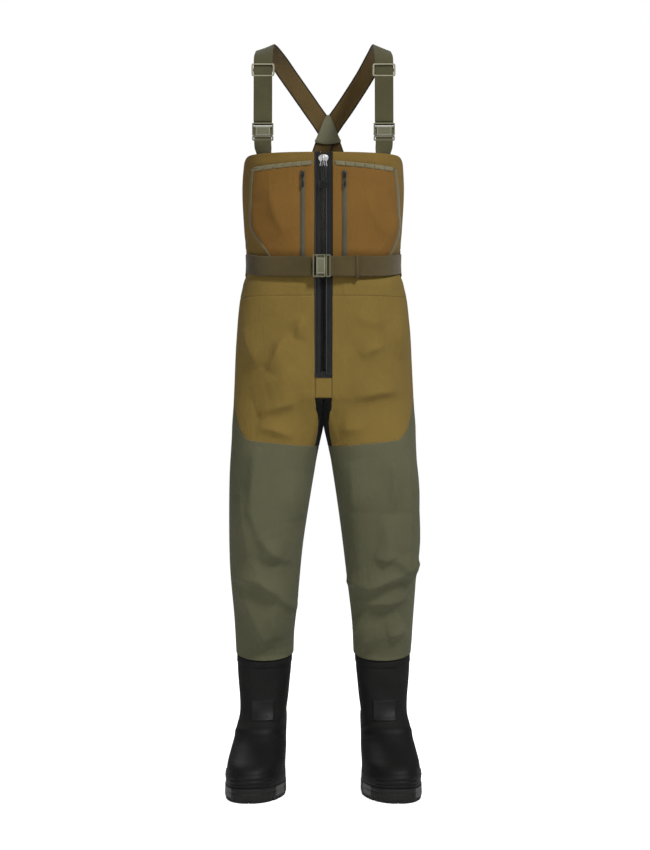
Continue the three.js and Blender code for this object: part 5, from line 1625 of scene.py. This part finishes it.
# %% Tabs sewn inside the bib
def tab_line(side):
    z = np.array([1238, 1250, 1262, 1270, 1278, 1286, 1293.5])
    x = side * np.full(7, 120.0)
    inner = skin(angle_at(120.0, 1252.0), 1252.0)[1] + 7.2
    goal = strap_y(1286)
    share = smooth(z, 1262, 1286)
    y = inner + (goal - inner) * share
    turn = (1 - share)[:, None] * np.array([math.cos(0.62), side * math.sin(0.62), 0]) \
        + share[:, None] * np.array([1.0, 0, 0])
    x = x - side * 2.6 * (1 - share)
    line = np.column_stack([x, y, z])
    step = np.gradient(line, axis=0)
    out = np.cross(turn, step)
    out *= np.where(out[:, 1:2] > 0, -1, 1)
    return line, turn, out

for side_name, side in SIDES.items():
    line, across, out = tab_line(side)
    wrap = np.array([[side * 120, strap_y(1296) - 1.2, 1296.6],
                     [side * 120, strap_y(1297) - 0.2, 1298.6]])
    wrap_out = np.array([[0, -0.8, 0.6], [0, -0.2, 1.0]])
    line = np.concatenate([line, wrap])
    across = np.concatenate([across, np.tile([1.0, 0, 0], (2, 1))])
    out = np.concatenate([out, wrap_out])
    ribbon(f"strap_tab_webbing_{side_name}", line, across, out, 34, 2.0, "garment",
           [f"strap_tab_{side_name}"], [strap_webbing])

# %% Adjusters
def adjuster_parts():
    half, rail = 19.2, 3.4
    outer = rounded(-half - rail, half + rail, -12.5, 12.5, 3.4)
    hole = rounded(-half, half, -10.0, 10.0, 1.6)
    frame = (plate([outer, hole], 2.4, 0.9, 3), Matrix.Translation((0, 0, 2.8 * MM)), 0)
    rails = [(block(s * (half + 0.2) - (rail if s < 0 else 0), s * (half + 0.2) + (rail if s > 0 else 0),
                    -8.5, 8.5, -5.8, 2.6, 0.9), None, 0) for s in (-1, 1)]
    rear = (block(-half - 1, half + 1, -3, 3, -5.8, -4.1, 0.7), None, 0)
    return [frame, *rails, rear]

for side_name, side in SIDES.items():
    combine(f"strap_slide_{side_name}", adjuster_parts(), f"adjuster_{side_name}",
            [f"strap_adjuster_{side_name}"], [buckle_rim],
            upright(side * 120, strap_y(1435), 1435, lean=-math.atan(LEAN)))

# %% Yoke patches and the anchor on the back
def yoke_outline(grow=0.0):
    anchors = [(-24, -24), (-27, -20), (-24, -15), (-15.5, 5), (-7, 25), (0, 33), (7, 25),
               (15.5, 5), (24, -15), (27, -20), (24, -24), (12, -27), (0, -28), (-12, -27)]
    points = []
    for k in range(len(anchors)):
        p0, p1, p2, p3 = (np.array(anchors[(k + j - 1) % len(anchors)], float) for j in range(4))
        for t in (0, 0.25, 0.5, 0.75):
            points.append(tuple(0.5 * (2 * p1 + (p2 - p0) * t + (2 * p0 - 5 * p1 + 4 * p2 - p3) * t**2
                                       + (3 * p1 - p0 - 3 * p2 + p3) * t**3) * (1 + grow)))
    return points[::-1]

inner_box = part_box("yoke_patch_inner")
outer_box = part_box("yoke_patch_outer")
for name, box, facing in (("inner", inner_box, -1), ("outer", outer_box, 1)):
    y = 500 * (box[0][1] + box[1][1])
    parts = [(plate([yoke_outline()], 1.8, 0.6, 3), None, 0)]
    rim = [tuple(v * 0.9 for v in p) for p in yoke_outline()]
    inside = [tuple(v * 0.86 for v in p) for p in yoke_outline()]
    parts.append((plate([rim, inside], 0.7, 0.2), Matrix.Translation((0, 0, -facing * 0.95 * MM)), 0))
    combine(f"yoke_cover_{name}", parts, "suspenders", [f"yoke_patch_{name}"],
            [patch_rubber], upright(9, y, 1338))

def anchor_patch():
    rows, columns = 26, 30
    level, share = np.linspace(0, 1, rows)[:, None], np.linspace(-1, 1, columns)[None, :]
    z = 1216 + (1266 - 1216) * level + 0 * share
    x = 9 + 43 * share + 0 * level
    base = skin(angle_at(np.maximum(np.abs(x), 0.2), z, back=True), z)
    base[..., 0] = x
    normal = np.stack([0 * x, 0 * x + 1, 0 * x], -1)
    lift = 1.2 + 0.4 * (1 - np.maximum(np.abs(share), 2 * np.abs(level - 0.5)) ** 8)
    swell = np.maximum(hang(base, normal), 0)
    return base + normal * (lift + swell)[..., None], base + normal * (0.2 + swell)[..., None]

front, back = anchor_patch()
points, faces = closed_band(front, back, True)
mesh_object("back_anchor_cloth", points, faces, "garment", ["back_anchor_patch"], "trim_tape",
            patch_rubber)

# %% [markdown]
# ## Boots
# The boots are moulded rubber over neoprene, bonded to the hems. A foot is longer at its base and
# turns into a round shaft above the ankle, so the boot is lofted from slices. The shell of rubber
# climbs over the heel and the instep, the shin carries a raised pad, and creases cross the ankle.

# %% Boot slices
BOOT = [(26, -148, 149, 42.5, 57, 122, 0.1), (45, -148, 149, 43, 57, 122, 0.1),
        (58, -141, 148, 43.5, 56.5, 122, 0.1), (68, -128, 147, 44, 56, 122, 0.1),
        (78, -105, 146, 44.5, 55, 122, 0.1), (90, -78, 144, 45, 53.5, 122, 0.1),
        (105, -50, 142, 45, 51, 122, 0.1), (129, -22, 138, 45.5, 49, 122, 0.1),
        (153, -2, 134, 47, 47, 122, 0), (183, 6, 133, 49, 49, 121, 0),
        (213, 8, 132, 51.5, 51.5, 120, 0), (240, 7, 132, 54, 54, 120, 0),
        (262, 6, 131, 54.5, 54.5, 119.5, 0), (274, 8, 130, 50.5, 50.5, 118.5, 0),
        (292, 8, 130, 50.5, 50.5, 118.5, 0)]    # z, toe, heel, half at the heel and ball, x, run

def boot_ring(turn, z, grow=0.0):
    """Points of the left boot: turn is 0 outwards, -90 degrees at the toe, 90 at the heel."""
    turn, z = np.broadcast_arrays(np.asarray(turn, float), np.asarray(z, float))
    s = read(BOOT, z)
    toe, heel = s[..., 1], s[..., 2]
    y = (toe + heel) / 2 + ((heel - toe) / 2 + grow) * power(np.sin(turn), 2.6)
    ball = smooth((heel - y) / (heel - toe), 0.25, 0.7)
    half = s[..., 3] + (s[..., 4] - s[..., 3]) * ball + grow
    x = s[..., 5] + s[..., 6] * (75 - y) + half * power(np.cos(turn), 2.3)
    return np.stack([x, y, z], -1)

def boot_detail(p, turn, z):
    """Relief of the moulding, in millimetres outwards."""
    x, y = p[..., 0], p[..., 1]
    shell = 128 + 34 * smooth(y, 30, 125) - 10 * near(y, 40, 30)
    total = 1.3 * smooth(shell - z, -1.5, 1.5)
    for height, depth in ((61, 0.9), (66.5, 0.8), (72, 0.7)):
        total += depth * near(z, height, 1.7) * smooth(-y, 70, 95)
    total -= 1.2 * near(z + 0.16 * y, 112, 5.0) * near(y, -18, 26)
    total += 0.9 * near(z + 0.16 * y, 121, 7.0) * near(y, -12, 26)
    total -= 1.0 * near(z + 0.1 * y, 134, 5.5) * near(y, 0, 24)
    total += 0.8 * near(z, 147, 7.0) * near(y, 8, 22)
    front = smooth(-np.sin(turn), 0.1, 0.5)
    pad = smooth(23 - np.abs(x - 122), -1.0, 1.6) * smooth(20 - np.abs(z - 160), -1.0, 1.6) * front
    rim = smooth(17.5 - np.abs(x - 122), -1.0, 1.6) * smooth(14.5 - np.abs(z - 160), -1.0, 1.6) * front
    total += 2.8 * pad - 0.8 * rim
    total += 0.9 * near(z, 205, 26) * near(np.cos(turn), 1, 0.25)
    total += 0.5 * np.sin(z / 13.0 + 2.0 * turn) * np.sin(3 * turn + z / 37.0) * smooth(z, 70, 120)
    back_strip = near(np.cos(turn), 0, 0.11) * (np.sin(turn) > 0) * smooth(z, 60, 66)
    total += 1.2 * smooth(back_strip, 0.3, 0.6) * smooth(250 - z, -2, 2)
    return total

def boot_shell(side):
    levels = np.unique(np.concatenate([np.linspace(27, 292, 116), np.arange(138, 142.5, 0.7),
                                       np.arange(178, 182.5, 0.7)]))
    turns = np.linspace(0, 2 * np.pi, 180, endpoint=False)
    turn, z = turns[None, :] + 0 * levels[:, None], levels[:, None] + 0 * turns[None, :]
    base = boot_ring(turn, z)
    out = base - boot_ring(turn, z, -1.0)
    out[..., 2] = 0.0
    out /= np.linalg.norm(out, axis=-1, keepdims=True)
    points = base + out * boot_detail(base, turn, z)[..., None]
    points[..., 0] *= side
    return points, base

for side_name, side in SIDES.items():
    points, base = boot_shell(side)
    rows, columns = points.shape[:2]
    faces = grid_faces(rows, columns, flip=side < 0, around=True)
    made = mesh_object(f"boot_shell_{side_name}", points.reshape(-1, 3), faces, "garment",
                       [f"boot_upper_{side_name}", f"boot_shin_patch_{side_name}"], "boot_rubber")
    for paint in (boot_rubber, boot_neoprene, pad_rubber):
        made.data.materials.append(paint)
    y, z = base[:-1, :, 1].ravel(), base[:-1, :, 2].ravel()
    shell = 128 + 34 * smooth(y, 30, 125) - 10 * near(y, 40, 30)
    pad = (np.abs(base[:-1, :, 0].ravel() - 122) < 22) & (np.abs(z - 160) < 19) & (y < 60)
    made.data.polygons.foreach_set("material_index", np.where(pad, 2, z > shell).tolist())
    thicken(made, 3.2)
    print(made.name, len(made.data.vertices), "points")

# %% Rand and sole wall
def close_seam(made):
    """Welds the first and last ring of a closed band and turns every face outwards."""
    bm = bmesh.new()
    bm.from_mesh(made.data)
    bmesh.ops.remove_doubles(bm, verts=bm.verts, dist=1e-6)
    bmesh.ops.recalc_face_normals(bm, faces=bm.faces)
    bm.to_mesh(made.data)
    bm.free()

def sole_ring(turn, z, grow=0.0):
    turn, z = np.broadcast_arrays(np.asarray(turn, float), np.asarray(z, float))
    y = (152.5 + grow) * power(np.sin(turn), 2.6)
    ball = smooth((152.5 - y) / 305, 0.25, 0.7)
    half = 46 + 14.5 * ball + grow
    x = 122 + 0.1 * (75 - y) + half * power(np.cos(turn), 2.3)
    return np.stack([x, y, z], -1)

def ring_lengths(points):
    step = np.linalg.norm(np.diff(np.concatenate([points, points[:1]]), axis=0), axis=1)
    return np.concatenate([[0], np.cumsum(step)])[:-1]

def rand_piece(side):
    """The rubber band round the foot, with a grooved face and a ridged bumper at the toe."""
    turns = np.linspace(0, 2 * np.pi, 260, endpoint=False)
    profile = [(28.1, 1.4), (28.3, 2.1), (29.5, 2.5), (34.0, 2.5), (34.8, 2.45), (36.0, 2.4),
               (36.8, 2.4), (42.0, 2.2), (42.8, 2.15), (44.0, 2.1), (44.8, 2.0), (50.0, 1.5),
               (54.0, 0.9), (56.2, 0.2), (56.0, -0.6)]
    points = []
    for z, grow in profile:
        ring = boot_ring(turns, z)
        out = ring - boot_ring(turns, z, -1.0)
        out[:, 2] = 0
        out /= np.linalg.norm(out, axis=1, keepdims=True)
        y = ring[:, 1]
        ladder = -1.1 * smooth(-y, 118, 132) * (z in (34.8, 36.0, 42.8, 44.0))
        bumper = 1.3 * smooth(-y, 104, 132) * (30 < z < 51)
        lug = 1.6 * near(y, -58, 15) * (38 < z < 56) * smooth(np.cos(turns), 0.2, 0.5)
        points.append(ring + out * (grow + ladder + bumper + lug)[:, None])
    points = np.array(points)
    points[..., 0] *= side
    return points

def sole_wall(side):
    turns = np.linspace(0, 2 * np.pi, 320, endpoint=False)
    run = ring_lengths(sole_ring(turns, 14.0))
    heights = [(5.8, -7.0), (5.6, -1.4), (5.8, 0.0), (8.0, 0.3), (14.0, 0.2), (18.0, 0.0),
               (19.0, -0.6), (20.4, -0.6), (21.4, 0.0), (27.0, -0.1), (27.7, -0.7), (27.9, -2.0), (27.9, -6.0)]
    points = []
    for z, grow in heights:
        ring = sole_ring(turns, z, grow)
        inward = sole_ring(turns, z, grow - 1.0)
        out = ring - inward
        out /= np.linalg.norm(out, axis=1, keepdims=True)
        notch = -0.7 * smooth(np.sin(2 * np.pi * run / 15.0), 0.45, 0.75) * (5.9 < z < 17)
        points.append(ring + out * notch[:, None])
    points = np.array(points)
    points[..., 0] *= side
    return points

def capped(points, flip):
    rows, columns = points.shape[:2]
    faces = grid_faces(rows, columns, flip=flip, around=True)
    bottom, top = tuple(range(columns)), tuple(range((rows - 1) * columns, rows * columns))
    faces += [bottom if flip else bottom[::-1], top[::-1] if flip else top]
    return points.reshape(-1, 3), faces

def tread_lugs(side):
    """Blocks of tread under the sole, in pairs, cut back at the arch."""
    bands = [(-151, -121), (-115, -93), (-87, -65), (-59, -37), (-31, -9), (-3, 24), (68, 89),
             (95, 115), (121, 151)]
    parts = []
    for y0, y1 in bands:
        for half in (-1, 1):
            edge = []
            for y in np.linspace(y0, y1, 7):
                t = math.asin(max(-1, min(1, math.copysign(abs(y / 152.5) ** 1.3, y))))
                ball = float(smooth((152.5 - y) / 305, 0.25, 0.7))
                reach = (46 + 14.5 * ball) * math.cos(t) ** (2 / 2.3) - 1.2
                edge.append((half * max(reach, 4.0), y))
            slant = 4.0 if y0 < 30 else 0.0
            gap = 0.5 if y0 < -120 else 2.6
            loop = [(half * gap, y0 + slant * (gap > 1)), *edge, (half * gap, y1 + slant * (y1 < 20))]
            centre_run = [(122 + 0.1 * (75 - y) + x, y) for x, y in loop]
            centre_run = [(side * x, y) for x, y in centre_run]
            area = sum(a[0] * b[1] - b[0] * a[1]
                       for a, b in zip(centre_run, centre_run[1:] + centre_run[:1]))
            parts.append((plate([centre_run if area > 0 else centre_run[::-1]], 6.6, 1.0),
                          Matrix.Translation((0, 0, 3.3 * MM)), 0))
    return parts

for side_name, side in SIDES.items():
    points = rand_piece(side)
    rows, columns = points.shape[:2]
    inner = points[::-1].copy()
    ring = boot_ring(np.linspace(0, 2 * np.pi, columns, endpoint=False), 40.0, -2.0)
    foot, head = ring.copy(), ring.copy()
    foot[:, 2], head[:, 2] = 28.4, 55.8
    foot[:, 0] *= side
    head[:, 0] *= side
    loop = np.concatenate([points, head[None], foot[None], points[:1]])
    made = mesh_object(f"boot_rand_{side_name}", loop.reshape(-1, 3),
                       grid_faces(len(loop), columns, flip=side < 0, around=True), "garment",
                       [f"boot_foxing_{side_name}"], "boot_rubber", boot_rubber)
    close_seam(made)
    points, faces = capped(sole_wall(side), side < 0)
    wall = bpy.data.meshes.new("wall")
    wall.from_pydata((points * MM).tolist(), [], faces)
    made = combine(f"boot_tread_{side_name}", [(wall, None, 0)] + tread_lugs(side), "garment",
                   [f"boot_outsole_{side_name}"], [sole_rubber, sole_wall_highlight])
    # painted highlight: faces of the sole wall at the sides of the forefoot take the light grey paint
    for face in made.data.polygons:
        at = face.center / MM
        outward = side * face.normal.x
        first, last = (-132, -96) if outward > 0 else (-108, -62)
        if 7 < at.z < 27 and first < at.y < last and abs(outward) > 0.3:
            face.material_index = 1
print("soles", round(2 * 152.5), "mm long")

# %% Cuff bands and insoles
def cuff_ring(side, low_edge=250.0, top=267.2):
    low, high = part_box("boot_cuff_band_right")
    print("cuff band", round(1000 * low[2]), "to", round(1000 * high[2]), "mm")
    turns = np.linspace(0, 2 * np.pi, 120, endpoint=False)
    points = []
    for z, grow in ((250, 0.1), (250.4, 0.8), (252, 1.1), (260, 1.2), (266.5, 1.6), (267.2, 0.8),
                    (267.2, -0.8)):
        ring = boot_ring(turns, min(z, 262.0), grow)
        share = 0.7 + 0.3 * (z - low_edge) / (top - low_edge)
        ring[:, 2] = z + share * (hem_height(turns) - HEM)
        points.append(ring)
    points = np.array(points)
    points[..., 0] *= side
    return points

for side_name, side in SIDES.items():
    points = cuff_ring(side)
    loop = np.concatenate([points, points[:1]])
    made = mesh_object(f"boot_cuff_{side_name}", loop.reshape(-1, 3),
                       grid_faces(len(loop), points.shape[1], flip=side < 0, around=True),
                       "garment", [f"boot_cuff_band_{side_name}"], "boot_neoprene", boot_neoprene)
    close_seam(made)
    insole = frame["nodes"][f"boot_insole_{side_name}"]
    insole.data.materials.clear()
    insole.data.materials.append(boot_neoprene)
print("CAD nodes still shown:", [n for n, o in frame["nodes"].items() if not o.hide_render])

# %% [markdown]
# ## Sizes and finish
# The box that the made waders fill is printed.

# %% Print the size of what is shown
low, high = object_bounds()
print("visual box, mm:", [round(1000 * v) for v in (*low, *high)])
